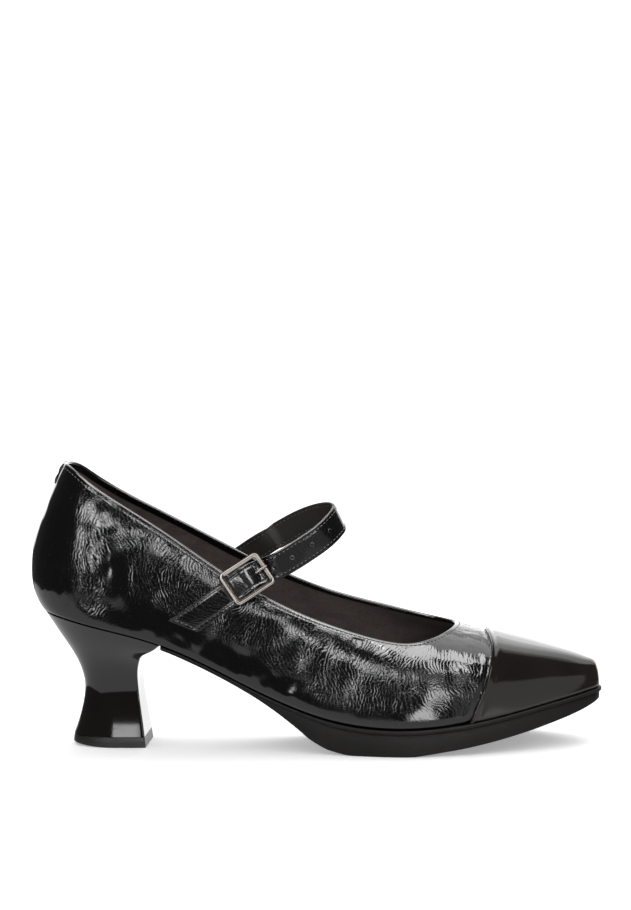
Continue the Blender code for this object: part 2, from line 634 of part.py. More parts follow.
def make_strap_tab(look):
    """Tab on the outer quarter that holds the buckle's middle bar."""
    start = np.array(TAB_START)
    end = np.array(BUCKLE_AT)
    run = (end - start) / np.linalg.norm(end - start)
    over = np.array([run[1], -run[0]])
    along = np.linspace(0, 1, 13)[:, None, None]
    half = np.linspace(-0.5, 0.5, 5)[None, :, None] * TAB_WIDTH
    flat = start + (end + run - start) * along + over * half
    flat = flat + run * half / TAB_WIDTH * TAB_SLANT * (1 - along) ** 2
    ones = np.ones(flat.shape[:2])
    top = side_point(flat[..., 0], flat[..., 1], 1, (CLEAR + TAB_THICK) * ones)
    bottom = side_point(flat[..., 0], flat[..., 1], 1, CLEAR * ones)
    return sheet_object("strap_tab", top, bottom, look["patent"])


def buckle_axes():
    """Origin on the quarter under the buckle, and the directions along the strap, across it and outwards."""
    x, z = (np.array([value]) for value in BUCKLE_AT)
    step = 0.5
    origin = side_point(x, z, 1, np.zeros(1))[0]
    by_x = side_point(x + step, z, 1, np.zeros(1))[0] - side_point(x - step, z, 1, np.zeros(1))[0]
    by_z = side_point(x, z + step, 1, np.zeros(1))[0] - side_point(x, z - step, 1, np.zeros(1))[0]
    turn = math.radians(BUCKLE_TURN)
    along = by_x * math.cos(turn) + by_z * math.sin(turn)
    along /= np.linalg.norm(along)
    out = np.cross(by_x, by_z)
    out /= np.linalg.norm(out)
    return origin, along, np.cross(along, out), out


def rounded_loop(length, width, radius, corner_points=5):
    """Rectangle with round corners, as points along and across."""
    points = []
    for quarter in range(4):
        sign_x = 1 if quarter in (0, 3) else -1
        sign_y = 1 if quarter in (0, 1) else -1
        for k in range(corner_points):
            angle = math.pi / 2 * (quarter + k / (corner_points - 1))
            x = sign_x * (length / 2 - radius) + radius * math.cos(angle)
            y = sign_y * (width / 2 - radius) + radius * math.sin(angle)
            points.append((x, y))
    return np.array(points)


def placed(points):
    """Points (along, across, out) in the buckle's axes, out from the frame's underside."""
    origin, along, across, out = buckle_axes()
    base = origin + out * BUCKLE_RISE
    return base + points[..., :1] * along + points[..., 1:2] * across + points[..., 2:] * out


def box_points(low, high):
    corners = np.array([(x, y, z) for x in (0, 1) for y in (0, 1) for z in (0, 1)])
    return np.array(low) + corners * (np.array(high) - np.array(low))


def make_buckle(look):
    """Frame with a bevelled ring, and the middle bar that the strap lies over, held by a leg at each end."""
    length, width = BUCKLE_SIZE
    inner_length = length - 2 * BUCKLE_BAR
    inner_width = width - 2 * BUCKLE_BAR
    bevel = BUCKLE_BEVEL
    inner = BUCKLE_INNER_ROUND
    section = [
        (length, width, BUCKLE_ROUND, 0.0),
        (length, width, BUCKLE_ROUND, BUCKLE_THICK - bevel),
        (length - 2 * bevel, width - 2 * bevel, BUCKLE_ROUND - bevel, BUCKLE_THICK),
        (inner_length + 2 * bevel, inner_width + 2 * bevel, inner + bevel, BUCKLE_THICK),
        (inner_length, inner_width, inner, BUCKLE_THICK - bevel),
        (inner_length, inner_width, inner, 0.0),
    ]
    rings = []
    for ring_length, ring_width, radius, height in section:
        loop = rounded_loop(ring_length, ring_width, radius)
        rings.append(np.concatenate([loop, np.full((len(loop), 1), height)], axis=1))
    rings = np.stack(rings)
    faces = grid_faces(rings.shape[0], rings.shape[1], wrap_rows=True, wrap_columns=True)
    frame = closed_object("buckle", placed(rings), faces, look["nickel"])
    side = inner_width / 2
    drop = BUCKLE_RISE - 2 * CLEAR - TAB_THICK
    rail = BUCKLE_RAIL / 2
    parts = [((-rail, -side - 1, -drop), (rail, side + 1, -drop + RAIL_DEPTH))]
    for sign in (-1, 1):
        edges = sorted((sign * (side + 0.05), sign * (side + LEG_THICK)))
        parts.append(((-rail, edges[0], -drop), (rail, edges[1], BUCKLE_BEVEL)))
    box_faces = np.array([(0, 1, 3, 2), (4, 6, 7, 5), (0, 4, 5, 1), (2, 3, 7, 6), (0, 2, 6, 4), (1, 5, 7, 3)])
    for number, (low, high) in enumerate(parts):
        points = placed(box_points(low, high))
        block = closed_object(f"buckle_bar_{number}", points, box_faces, look["nickel"])
        block.hide_render = True
        block.display_type = "WIRE"
        join = frame.modifiers.new(f"join_{number}", "BOOLEAN")
        join.operation = "UNION"
        join.object = block
    return frame


def make_prong(look):
    """Tip of the prong, from the strap's hole over the frame's front bar."""
    sides = 8
    rows = np.array(PRONG)
    path = np.stack([BUCKLE_SIZE[0] / 2 + rows[:, 0], 0 * rows[:, 0], rows[:, 1]], -1)
    angle = np.arange(sides) * 2 * math.pi / sides
    ring = np.stack([0 * angle, np.cos(angle), np.sin(angle)], -1)
    points = path[:, None] + ring[None] * rows[:, 2][:, None, None]
    faces = [tuple(quad) for quad in grid_faces(len(path), sides, wrap_columns=True)]
    ends = [tuple(range(sides)), tuple(range(len(path) * sides - 1, (len(path) - 1) * sides - 1, -1))]
    return closed_object("buckle_prong", placed(points), faces + ends, look["nickel"])


def make_back_tab(look):
    """Folded strip over the top of the back seam."""
    turn = np.linspace(-1, 1, 9)[:, None] * BACK_TAB_HALF
    top_angle = math.radians(COLLAR[0][1])
    low_angle = math.asin(math.sin(top_angle) - BACK_TAB_HEIGHT / LAST[0][4])
    angle = np.linspace(low_angle, top_angle, 6)[None, :] + 0 * turn
    r = 1 - turn + 0 * angle
    u = r * np.cos(angle)
    w = r * np.sin(angle)
    top = last_point(u, w, (CLEAR + BACK_TAB_THICK) * np.ones_like(u))
    bottom = last_point(u, w, CLEAR * np.ones_like(u))
    return sheet_object("back_tab", top, bottom, look["patent"])


def main():
    for old in list(bpy.data.objects):
        bpy.data.objects.remove(old)
    look = looks()
    make_upper(look)
    make_toe_cap(look)
    make_outsole(look)
    make_insole(look)
    make_heel(look)
    make_heel_tip(look)
    make_strap(look)
    make_strap_tab(look)
    make_buckle(look)
    make_prong(look)
    make_back_tab(look)


main()
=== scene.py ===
"""Looks of a right-foot pump: crinkled patent upper with a smooth patent toe cap, suede lining, lacquered
spool heel, rubber sole and a buckled instep strap.

Shapes are worked out in the shoe's own millimetres: x from the back of the heel to the toe, y from the outer
side (minus) to the inner side, z up from the floor.  SHOE_CENTRE and MM turn them into the frame's metres.
"""
import math

import bpy
import numpy as np
from mathutils import Matrix, Vector


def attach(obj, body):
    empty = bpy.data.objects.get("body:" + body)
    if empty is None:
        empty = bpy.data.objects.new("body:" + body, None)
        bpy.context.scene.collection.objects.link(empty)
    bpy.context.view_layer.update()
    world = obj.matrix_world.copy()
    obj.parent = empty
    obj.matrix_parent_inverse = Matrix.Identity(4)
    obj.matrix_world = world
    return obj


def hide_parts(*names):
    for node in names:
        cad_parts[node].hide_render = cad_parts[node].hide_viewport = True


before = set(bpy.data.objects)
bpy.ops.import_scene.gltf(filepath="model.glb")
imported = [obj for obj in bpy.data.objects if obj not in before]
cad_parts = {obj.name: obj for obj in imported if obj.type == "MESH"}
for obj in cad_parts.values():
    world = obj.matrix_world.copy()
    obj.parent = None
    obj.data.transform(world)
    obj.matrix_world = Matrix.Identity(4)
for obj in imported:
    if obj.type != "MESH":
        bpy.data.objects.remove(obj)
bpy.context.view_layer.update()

MM = 0.001
SHOE_CENTRE = (127.8, 0.0)
FULL_TURN = 2 * math.pi

# ---- the last, as in the solids ---------------------------------------------------------------
LAST_LENGTH = 253.4
CLEAR = 0.3
WALL = 1.7
BACK_FADE = 70.0
SIDE_FULLNESS = 0.34
TOP_FULLNESS = 0.10
# x, middle, outer and inner half width, ridge height, ridge shift, flare of the outer and inner wall
LAST = [
    (0, 0, 0, 0, 85, 0, 0, 0), (3, 0, 10.6, 10.6, 85, 0, 1, 1), (12, 0, 19, 18.8, 84, 0.2, 2, 2),
    (30, 0, 24.6, 24, 80.5, 0.8, 2.4, 2.6), (55, 0, 25.3, 23.2, 75, 1.8, 3, 4.6),
    (80, 0, 24.2, 19, 69.5, 2.6, 4.4, 9), (105, 0, 25, 17, 64.5, 3, 4.8, 11),
    (130, 0, 29.6, 19.2, 59.6, 3.4, 3.6, 9), (150, 0, 34, 24.4, 55, 3.8, 2.4, 5.6),
    (170, 0.6, 37.4, 30.9, 47.6, 3.8, 1.6, 3), (190, 1.8, 35.6, 34.9, 39.7, 3, 1.2, 1.6),
    (205, 2.7, 31.2, 33, 33.9, 2, 1, 1), (220, 3.3, 25, 27, 27.3, 1, 0.8, 0.8),
    (233, 3.7, 18.3, 19.8, 21.3, 0.4, 0.6, 0.6), (243, 3.9, 12.6, 13.4, 16.1, 0.1, 0.4, 0.4),
    (249.4, 4, 7.8, 8.2, 12.4, 0, 0.2, 0.2), (252.5, 4, 4.2, 4.4, 9, 0, 0.1, 0.1),
    (LAST_LENGTH, 4, 0, 0, 0, 0, 0, 0),
]
# x, height of the feather edge
FEATHER = [
    (0, 62.2), (5.5, 61.6), (15, 60.2), (25, 58), (40, 54.5), (55, 50.3), (70, 44.4), (85, 37), (100, 29.2),
    (115, 22.4), (130, 17), (145, 13.7), (160, 12.4), (175, 12.4), (190, 13.4), (205, 15.3), (220, 18),
    (235, 21), (247, 23.4), (254, 24.8),
]
# height over the feather edge, how far the back lies in front of its rearmost point
BACK_CURVE = [
    (0, 5.6), (5, 2.8), (12, 0.7), (19, 0.2), (29, 1.4), (38, 4.1), (46, 7.1), (54, 10.6), (62, 14.2),
    (70, 18.4), (85, 27),
]
# the top line: distance from the back, angle round the section
COLLAR = [
    (0, 48.3), (8, 48.9), (21, 47.8), (34, 46.4), (50, 44.2), (67, 42), (86, 40.4), (107, 41.3),
    (137, 43.9), (155, 45), (167, 47.4), (178, 54.5), (187, 70), (190.5, 90), (187, 105), (178, 113),
    (165, 117.8), (150, 121.8), (130, 125.4), (107, 130), (86, 134.9), (67, 137.6), (50, 138), (34, 136.8),
    (21, 135.1), (8, 133), (0, 131.7),
]
# x, height of the sole's underside
TREAD = [
    (58, 47.9), (71, 41.9), (83, 35.9), (100, 26.3), (110, 19.8), (121, 11.6), (128, 6), (137, 1.7),
    (147, 0), (172, 0), (181, 0.9), (190, 2.1), (197, 3.2), (208, 5.1), (223, 8.4), (232, 10.8),
    (242, 13.9), (249, 16.6), (256, 20.4),
]
# share of the heel's height, height at the back and the breast, x of both, half width
HEEL = [
    (0, 4.9, 4.9, 17.4, 51, 13.4), (0.14, 12, 12, 20, 50.1, 12), (0.3, 20.5, 20.5, 22.2, 49, 10.9),
    (0.44, 28, 28, 22.8, 48.4, 10.9), (0.57, 36, 34.5, 20.9, 48.5, 12.4), (0.7, 44, 39.6, 16.9, 49.8, 15.6),
    (0.82, 51, 43, 12.5, 52.4, 19.2), (0.91, 56, 45.2, 9.4, 56.6, 22.2),
]
# angle round the section, x of the toe cap's seam
CAP_SEAM = [
    (0, 198.6), (12, 202), (28, 205.8), (45, 207.6), (60, 207.8), (75, 206.4), (90, 204.2), (110, 202.4),
    (130, 202), (150, 200.6), (166, 197.6), (180, 194.6),
]
# the strap's middle from its tail to its inner end
STRAP = [
    (91, -23, 71.6), (99.6, -22.8, 76.8), (109.2, -22.2, 81.4), (117.9, -19.9, 85.6), (126.2, -16.3, 90.4),
    (133, -12, 94.8), (137.6, -6.4, 98.8), (139.5, 0, 101.6), (136.8, 6.6, 102.4), (130.6, 12, 101.2),
    (123.2, 16, 98.4), (116.2, 19, 94.8), (109.4, 21.2, 90.8), (102.6, 22.8, 86.6), (92.2, 24.2, 79.6),
    (84, 24.6, 74.4), (76, 24.8, 69.4),
]
# main folds of the leather: x and angle of both ends, height (minus for a trough) and half width
CREASES = [
    (31, 44, 29, 24, -0.34, 5), (52, 40, 42, 14, 0.34, 5.5), (72, 34, 62, 12, -0.2, 5),
    (88, 30, 78, 8, 0.18, 5), (118, 36, 108, 18, -0.16, 4), (134, 38, 126, 18, 0.14, 3.5),
    (150, 40, 144, 18, -0.14, 4), (172, 50, 172, 16, -0.26, 5), (184, 66, 192, 30, -0.2, 3.5),
    (198, 74, 199, 34, 0.14, 3), (192, 108, 186, 140, -0.24, 4), (174, 126, 170, 160, -0.26, 4),
    (150, 136, 144, 164, -0.24, 4), (120, 138, 112, 164, -0.22, 4), (84, 146, 76, 168, -0.24, 4.5),
    (50, 144, 44, 166, -0.24, 4),
]
# fullness of the leather: x, how far it stands out, height over the feather edge, half width
FULLNESS = [
    (20, 0.1, 4, 9), (60, 0.2, 4, 9), (90, 0.4, 4, 10), (120, 0.75, 5, 12), (150, 0.8, 5, 12),
    (180, 0.8, 5, 12), (205, 0.3, 4, 9),
]
# places where the leather stays smooth: x, height over the feather edge, and half sizes of both
SMOOTH = [
    (42, 27, 6, 20), (58, 13, 14, 10), (80, 13, 15, 11), (105, 9, 16, 9), (130, 5, 16, 7), (150, 2, 16, 5),
    (8, 35, 12, 60), (98, 15, 13, 9), (121, 13, 12, 8),
]

# leather, its band folded in at the top line, the cap over it and the margin under the foot
LEATHER, BAND = 0.95, 3.2
CAP_CLEAR, CAP_THICK, CAP_FADE = 0.4, 0.8, (186, 200)
FLANGE_THICK, FLANGE_SCALE, FLANGE_SETBACK = 1.3, 0.66, 10.0
INSOLE_THICK, INSOLE_INSET = 2.2, 0.7
# sole: lip over the wall, its fade from the arch to the ball, taper and round lower edge, ribs
LIP_OUT, LIP_HEIGHT, LIP_STEP, LIP_FADE = 0.7, 1.6, 0.9, (105, 150)
SOLE_TAPER, SOLE_EDGE_ROUND, SOLE_CROWDING, SOLE_STATIONS = 0.1, 0.9, 0.86, 520
RIB_RISE, RIB_STEP, RIB_REACH = 0.3, 3.6, (146, 238)
# heel and its top piece
BREAST_X, BREAST_ROUND, BREAST_TAPER, SEAT_INSET = 60.5, 1.2, 0.93, 0.5
HEEL_TIP_THICK, HEEL_TIP_BEVEL, HEEL_TIP_FLARE = 4.6, 1.5, 0.4
# strap: size, lean, the x between which it leaves the shoe on each side, and its rise over the buckle's bar
STRAP_WIDTH, STRAP_THICK, STRAP_LEAN, STRAP_STATIONS = 11.8, 1.5, 26.0, 520
OUTER_LEAVES, INNER_LEAVES, INNER_GAP = (101, 115), (97, 111), 0.5
PILLOW, PILLOW_REACH = 1.5, 6.5
HOLE_STATIONS = (118, 156, 194)
# buckle: x and height of its middle, turn, length and width, bar, thickness, corner and gap under it
BUCKLE_AT, BUCKLE_TURN, BUCKLE_SIZE = (99.9, 77.0), 31.0, (20.8, 17.0)
BUCKLE_BAR, BUCKLE_THICK, BUCKLE_ROUND, BUCKLE_RISE = 2.1, 1.8, 2.2, 4.0
TAB_START, TAB_WIDTH, TAB_THICK, TAB_SLANT = (71.4, 57.4), 12.0, 1.2, 7.8
# distance past the buckle's outer edge, height over its underside and radius of the tongue
PRONG = [(-6.0, 1.6, 0.45), (-5.0, 2.2, 0.6), (-4.0, 2.7, 0.65), (0.2, 2.8, 0.6)]
BACK_TAB_HEIGHT, BACK_TAB_HALF, BACK_STRIP_RISE = 9.5, 0.036, 0.4
STITCH_LENGTH, STITCH_STEP, STITCH_RADIUS, STITCH_INSET, RIM_GROOVE = 1.5, 2.1, 0.2, 1.6, 1.7

# ---- studio -----------------------------------------------------------------------------------
CAMERA_AZIMUTH, CAMERA_ELEVATION, CAMERA_ROLL = 6.2, 7.6, -1.3
CAMERA_LENS, CAMERA_AT = 176.4, (0.2146, -1.9587, 0.3930)
# what a light passes by ("EXCLUDE") or lights alone ("INCLUDE"); the metal has its own panels
METAL = ("buckle_frame", "buckle_tongue")
NOT_METAL = ("EXCLUDE", METAL)
NOT_HEEL = ("EXCLUDE", METAL + ("heel_block",))
NOT_CAP = ("EXCLUDE", METAL + ("cap_leather",))
NOT_STRAP = ("EXCLUDE", METAL + ("instep_strap",))
NOT_FRONT = ("EXCLUDE", METAL + ("cap_leather", "instep_strap"))
ONLY_METAL = ("INCLUDE", METAL)
ONLY_CAP = ("INCLUDE", ("cap_leather",))
# front panels of the light tent, FRONT_DISTANCE before the shoe (metres): left, right, low, high, radiance
FRONT_DISTANCE = 0.7
FRONT_PANELS = [
    ("left_low", -0.47, -0.415, -0.03, 0.03, 11.0, NOT_HEEL),
    ("left_middle", -0.44, -0.365, 0.03, 0.13, 10.5, NOT_HEEL),
    ("left_strip", -0.43, -0.29, 0.18, 0.29, 10.5, NOT_HEEL),
    ("inner_strip", -0.25, -0.13, 0.20, 0.33, 9.0, NOT_HEEL),
    ("low_middle", 0.04, 0.32, -0.12, 0.05, 8.0, NOT_FRONT),
    ("right_middle", 0.20, 0.44, 0.10, 0.25, 7.5, NOT_FRONT),
    ("centre", -0.04, 0.08, 0.23, 0.34, 8.0, NOT_STRAP),
    ("upper_centre", 0.16, 0.52, 0.31, 0.50, 1.2, NOT_STRAP),
    ("top_middle", -0.18, 0.10, 0.60, 1.20, 9.0, NOT_METAL),
    ("right_top", 0.36, 0.62, 0.56, 1.20, 11.0, NOT_CAP),
    ("right_side", 0.47, 2.40, -0.25, 0.27, 0.5, NOT_METAL),
    ("heel_window", -0.30, -0.13, 0.135, 0.24, 6.0, ("INCLUDE", ("heel_block",))),
    ("strap_side", -0.40, 2.40, -0.30, 0.70, 0.30, ("INCLUDE", ("instep_strap",))),
    ("metal_left", -1.00, -0.35, -0.10, 0.40, 1.6, ONLY_METAL),
    ("metal_top", -1.00, 0.60, 0.40, 1.40, 1.75, ONLY_METAL),
    ("metal_right", 0.60, 2.00, -0.10, 0.50, 0.6, ONLY_METAL),
]
# softboxes: azimuth from -Y towards +X, elevation, distance, width, height, radiance, for gloss or matt
SOFTBOX_AIM = (0, 0, 0.05)
SOFTBOXES = [
    ("top_softbox", 30, 72, 1.2, 1.0, 0.75, 10.0, True, NOT_CAP),
    ("back_top", 170, 60, 1.2, 1.8, 0.8, 2.2, True, NOT_CAP),
    ("back_softbox", 180, 10, 1.5, 2.6, 0.8, 0.9, True, NOT_METAL),
    ("back_upper", 180, 20, 1.7, 2.8, 1.45, 1.0, True, NOT_METAL),
    ("back_low", 172, -9, 2.0, 1.9, 0.5, 1.65, True, NOT_METAL),
    ("overhead_fill", 160, 62, 1.6, 1.4, 1.4, 1.7, False, ("EXCLUDE", ())),
    ("cap_back", 155, 40, 1.2, 1.7, 0.75, 0.9, True, ONLY_CAP),
    ("cap_back_high", 150, 52, 1.2, 1.5, 0.45, 0.6, True, ONLY_CAP),
]
# the floor, and the lit table under it that the gloss sees in its place: half lengths, depth, radiance
FLOOR_REACH, FLOOR_GLOW = 1.1, 0.3
TABLE_REACH, TABLE_DEPTH, TABLE_GLOW = 1.0, 0.20, 1.0
WORLD_SEEN, WORLD_MATT, WORLD_GLOSS = 1.05, 1.0, 0.08


# ---- curves -----------------------------------------------------------------------------------
def spline(xs, ys, x):
    """Natural cubic spline through (xs, ys)."""
    xs, ys = np.asarray(xs, float), np.asarray(ys, float)
    gap, count = np.diff(xs), len(xs)
    matrix, right = np.eye(count), np.zeros(count)
    inner = np.arange(1, count - 1)
    matrix[inner, inner - 1] = gap[:-1] / 6
    matrix[inner, inner] = (gap[:-1] + gap[1:]) / 3
    matrix[inner, inner + 1] = gap[1:] / 6
    right[inner] = np.diff(np.diff(ys) / gap)
    bend = np.linalg.solve(matrix, right)
    span = np.clip(np.searchsorted(xs, x) - 1, 0, count - 2)
    near = (xs[span + 1] - x) / gap[span]
    far = 1 - near
    curve = ((near**3 - near) * bend[span] + (far**3 - far) * bend[span + 1]) * gap[span] ** 2 / 6
    return near * ys[span] + far * ys[span + 1] + curve


def tame(xs, ys, x):
    """Cubic through (xs, ys) without overshoot: harmonic mean slopes, 0 where the data turns."""
    xs, ys = np.asarray(xs, float), np.asarray(ys, float)
    gap = np.diff(xs)
    rise = np.diff(ys) / gap
    same = rise[1:] * rise[:-1] > 0
    mean = np.where(same, 2 * rise[1:] * rise[:-1] / np.where(same, rise[1:] + rise[:-1], 1), 0)
    slope = np.concatenate([[rise[0]], mean, [rise[-1]]])
    span = np.clip(np.searchsorted(xs, x) - 1, 0, len(xs) - 2)
    t = (x - xs[span]) / gap[span]
    low = (1 + 2 * t) * (1 - t) ** 2 * ys[span] + t * (1 - t) ** 2 * gap[span] * slope[span]
    return low + t * t * (3 - 2 * t) * ys[span + 1] + t * t * (t - 1) * gap[span] * slope[span + 1]


def ease(low, high, x):
    """0 below low, 1 above high, 3t^2 - 2t^3 between."""
    t = np.clip((x - low) / (high - low), 0, 1)
    return t * t * (3 - 2 * t)


def bell(x, middle, width):
    """exp(-((x - middle) / width)^2)."""
    return np.exp(-(((x - middle) / width) ** 2))


def round_edge(distance, radius):
    """Quarter circle: 0 at the edge, 1 from the radius inwards."""
    return np.sqrt(1 - (1 - np.clip(distance / radius, 0, 1)) ** 2)


def column(rows, index):
    """One column of a table's rows."""
    return [row[index] for row in rows]


def along_rows(rows, x, index=1, curve=spline):
    """Curve through a column of the rows over their first column."""
    return curve(column(rows, 0), column(rows, index), x)


def unit(vectors):
    """Vectors over their lengths."""
    return vectors / np.maximum(np.linalg.norm(vectors, axis=-1, keepdims=True), 1e-12)


def run_length(points):
    """Length along a path up to each of its points."""
    return np.concatenate([[0], np.cumsum(np.linalg.norm(np.diff(points, axis=0), axis=1))])


def even_spacing(points, count):
    """Parameters 0..1 that put count points evenly along a finely sampled path."""
    run = run_length(points)
    return np.interp(np.linspace(0, run[-1], count), run, np.linspace(0, 1, len(points)))


def arc(shares):
    """1 - cosine and sine of each share of a quarter turn."""
    return [(1 - math.cos(math.pi / 2 * share), math.sin(math.pi / 2 * share)) for share in shares]


def circle(count):
    """Cosines and sines of count even angles round a full turn."""
    angle = np.arange(count) * FULL_TURN / count
    return np.cos(angle), np.sin(angle)


# ---- the last's surface -----------------------------------------------------------------------
def toe_share(x):
    """Inverse of x = L cos^2(pi r / 2): 0 at the toe tip and 1 at the back of the heel."""
    return np.arccos(np.sqrt(np.clip(np.asarray(x, float) / LAST_LENGTH, 0, 1))) * 2 / math.pi


def last_column(index, heel_sign, toe_sign, r):
    """A column of LAST as a smooth function of r, mirrored past both ends with the given signs."""
    at = toe_share(column(LAST, 0))[::-1]
    value = np.array(column(LAST, index), float)[::-1]
    xs = np.concatenate([-at[3:0:-1], at, 2 - at[-2:-5:-1]])
    return spline(xs, np.concatenate([toe_sign * value[3:0:-1], value, heel_sign * value[-2:-5:-1]]), r)


def feather_height(x):
    """Height of the feather edge at x."""
    return along_rows(FEATHER, x)


def back_shift(height, x):
    """How far the heel's back curve pushes a point forward, fading out by BACK_FADE."""
    return along_rows(BACK_CURVE, height) * np.clip(1 - x / BACK_FADE, 0, 1) ** 2


def last_point(u, w, out=0.0):
    """Point of the last at u = r cos(psi), w = r sin(psi), psi 0 at the outer and pi at the inner feather
    edge.  With c = cos(psi), s = sin(psi): y = middle - c W (1 + k s^2) - flare s c + ridge s^2 and
    z = feather + H s (1 + m c^2); out moves it along the outward normal."""
    u, w = np.broadcast_arrays(np.asarray(u, float), np.asarray(w, float))
    if np.any(out):
        return last_point(u, w) + last_normal(u, w) * np.asarray(out)[..., None]
    r = np.hypot(u, w)
    safe = np.where(r < 1e-9, 1, r)
    c = np.where(r < 1e-9, 1, u / safe)
    s = np.where(r < 1e-9, 0, w / safe)
    g = c * (3 - c * c) / 2
    outer, inner = (1 + g) / 2, (1 - g) / 2
    width, flare = (outer * last_column(k, -1, -1, r) + inner * last_column(k + 1, -1, -1, r) for k in (2, 6))
    height = last_column(4, 1, -1, r) * s * (1 + TOP_FULLNESS * c * c)
    x = LAST_LENGTH * np.cos(math.pi * r / 2) ** 2
    y = last_column(1, 1, 1, r) - c * width * (1 + SIDE_FULLNESS * s * s) - flare * s * c
    y = y + last_column(5, 1, 1, r) * s * s
    return np.stack([x + back_shift(height, x), y, feather_height(x + back_shift(0.0, x)) + height], axis=-1)


def last_normal(u, w):
    """Outward unit normal: the cross product of the differences along w and u."""
    step = 1e-3
    du = last_point(u + step, w) - last_point(u - step, w)
    return unit(np.cross(last_point(u, w + step) - last_point(u, w - step), du))


def edge_points(q):
    """Feather edge at the signed toe share q (plus on the outer side), and its outward direction in plan."""
    step = 1e-3
    along = last_point(q + step, 0 * q) - last_point(q - step, 0 * q)
    return last_point(q, 0 * q), unit(np.stack([-along[..., 1], along[..., 0], 0 * q], -1))


def collar_disc(t):
    """Top line, a smooth loop through COLLAR with its knots a chord apart."""
    r, angle = toe_share(column(COLLAR, 0)), np.radians(column(COLLAR, 1))
    loop = np.stack([r * np.cos(angle), r * np.sin(angle)], -1)
    knots = run_length(loop) / run_length(loop)[-1]
    return spline(knots, loop[:, 0], t), spline(knots, loop[:, 1], t)


def upper_disc(a, b):
    """Coons patch in the disc: a runs 0..1 round the shoe from the back over the outer side and the toe to
    the back again, b runs 0..1 from the feather edge to the top line."""
    fine, steps = np.linspace(0, 1, 1200), np.linspace(0, 1, 600)
    low_t = np.interp(a, steps, even_spacing(last_point(1 - 2 * fine, 0 * fine), 600))
    high_t = np.interp(a, steps, even_spacing(last_point(*collar_disc(fine)), 600))
    low, high = np.stack([1 - 2 * low_t, 0 * low_t], -1), np.stack(collar_disc(high_t), -1)
    turn = math.radians(COLLAR[0][1])
    start = np.stack([np.cos(turn * b), np.sin(turn * b)], -1)
    top, flip = np.array([math.cos(turn), math.sin(turn)]), np.array([-1, 1])
    a, b = a[..., None], b[..., None]
    edges = (1 - b) * low + b * high + (1 - a) * start + a * start * flip
    foot = (1 - a) * np.array([1, 0]) + a * np.array([-1, 0])
    corners = (1 - b) * foot + b * ((1 - a) * top + a * top * flip)
    return np.moveaxis(edges - corners, -1, 0)


def side_point(x, z, side, out):
    """Point of the quarter (side 1 outer, -1 inner) at x and height z, moved outwards by out; the angle round
    the section is found by halving."""
    r = toe_share(x)
    low, high = np.zeros_like(r), np.full_like(r, math.pi * 0.47)
    for _ in range(30):
        angle = (low + high) / 2
        under = last_point(r * np.cos(angle) * side, r * np.sin(angle))[..., 2] < z
        low, high = np.where(under, angle, low), np.where(under, high, angle)
    return last_point(r * np.cos(low) * side, r * np.sin(low), out)


# ---- meshes -----------------------------------------------------------------------------------
def grid_faces(rows, columns, wrap_rows=False, wrap_columns=False):
    """Quads of a grid whose vertex (i, j) has the number i * columns + j."""
    i = np.arange(rows if wrap_rows else rows - 1)[:, None]
    j = np.arange(columns if wrap_columns else columns - 1)[None, :]
    i, j = np.broadcast_arrays(i, j)
    down, along = (i + 1) % rows, (j + 1) % columns
    quads = [i * columns + j, i * columns + along, down * columns + along, down * columns + j]
    return np.stack(quads, -1).reshape(-1, 4)


def loop_faces(loops):
    """Quads between closed loops [loop, point] that themselves close into a ring."""
    return grid_faces(*loops.shape[:2], wrap_rows=True, wrap_columns=True)


def repeated(faces, count, size):
    """Faces of count copies of a shape with size points."""
    return (faces[None] + (np.arange(count) * size)[:, None, None]).reshape(-1, 4)


def face_corners(values):
    """Values of a grid at the four corners of each quad."""
    rows, columns = values.shape[:2]
    return values.reshape(rows * columns, -1)[grid_faces(rows, columns)]


def put_in(name, data, matrix=None):
    """Object of the data linked into the scene, at a matrix."""
    made = bpy.data.objects.new(name, data)
    if matrix is not None:
        made.matrix_world = matrix
    bpy.context.scene.collection.objects.link(made)
    return made


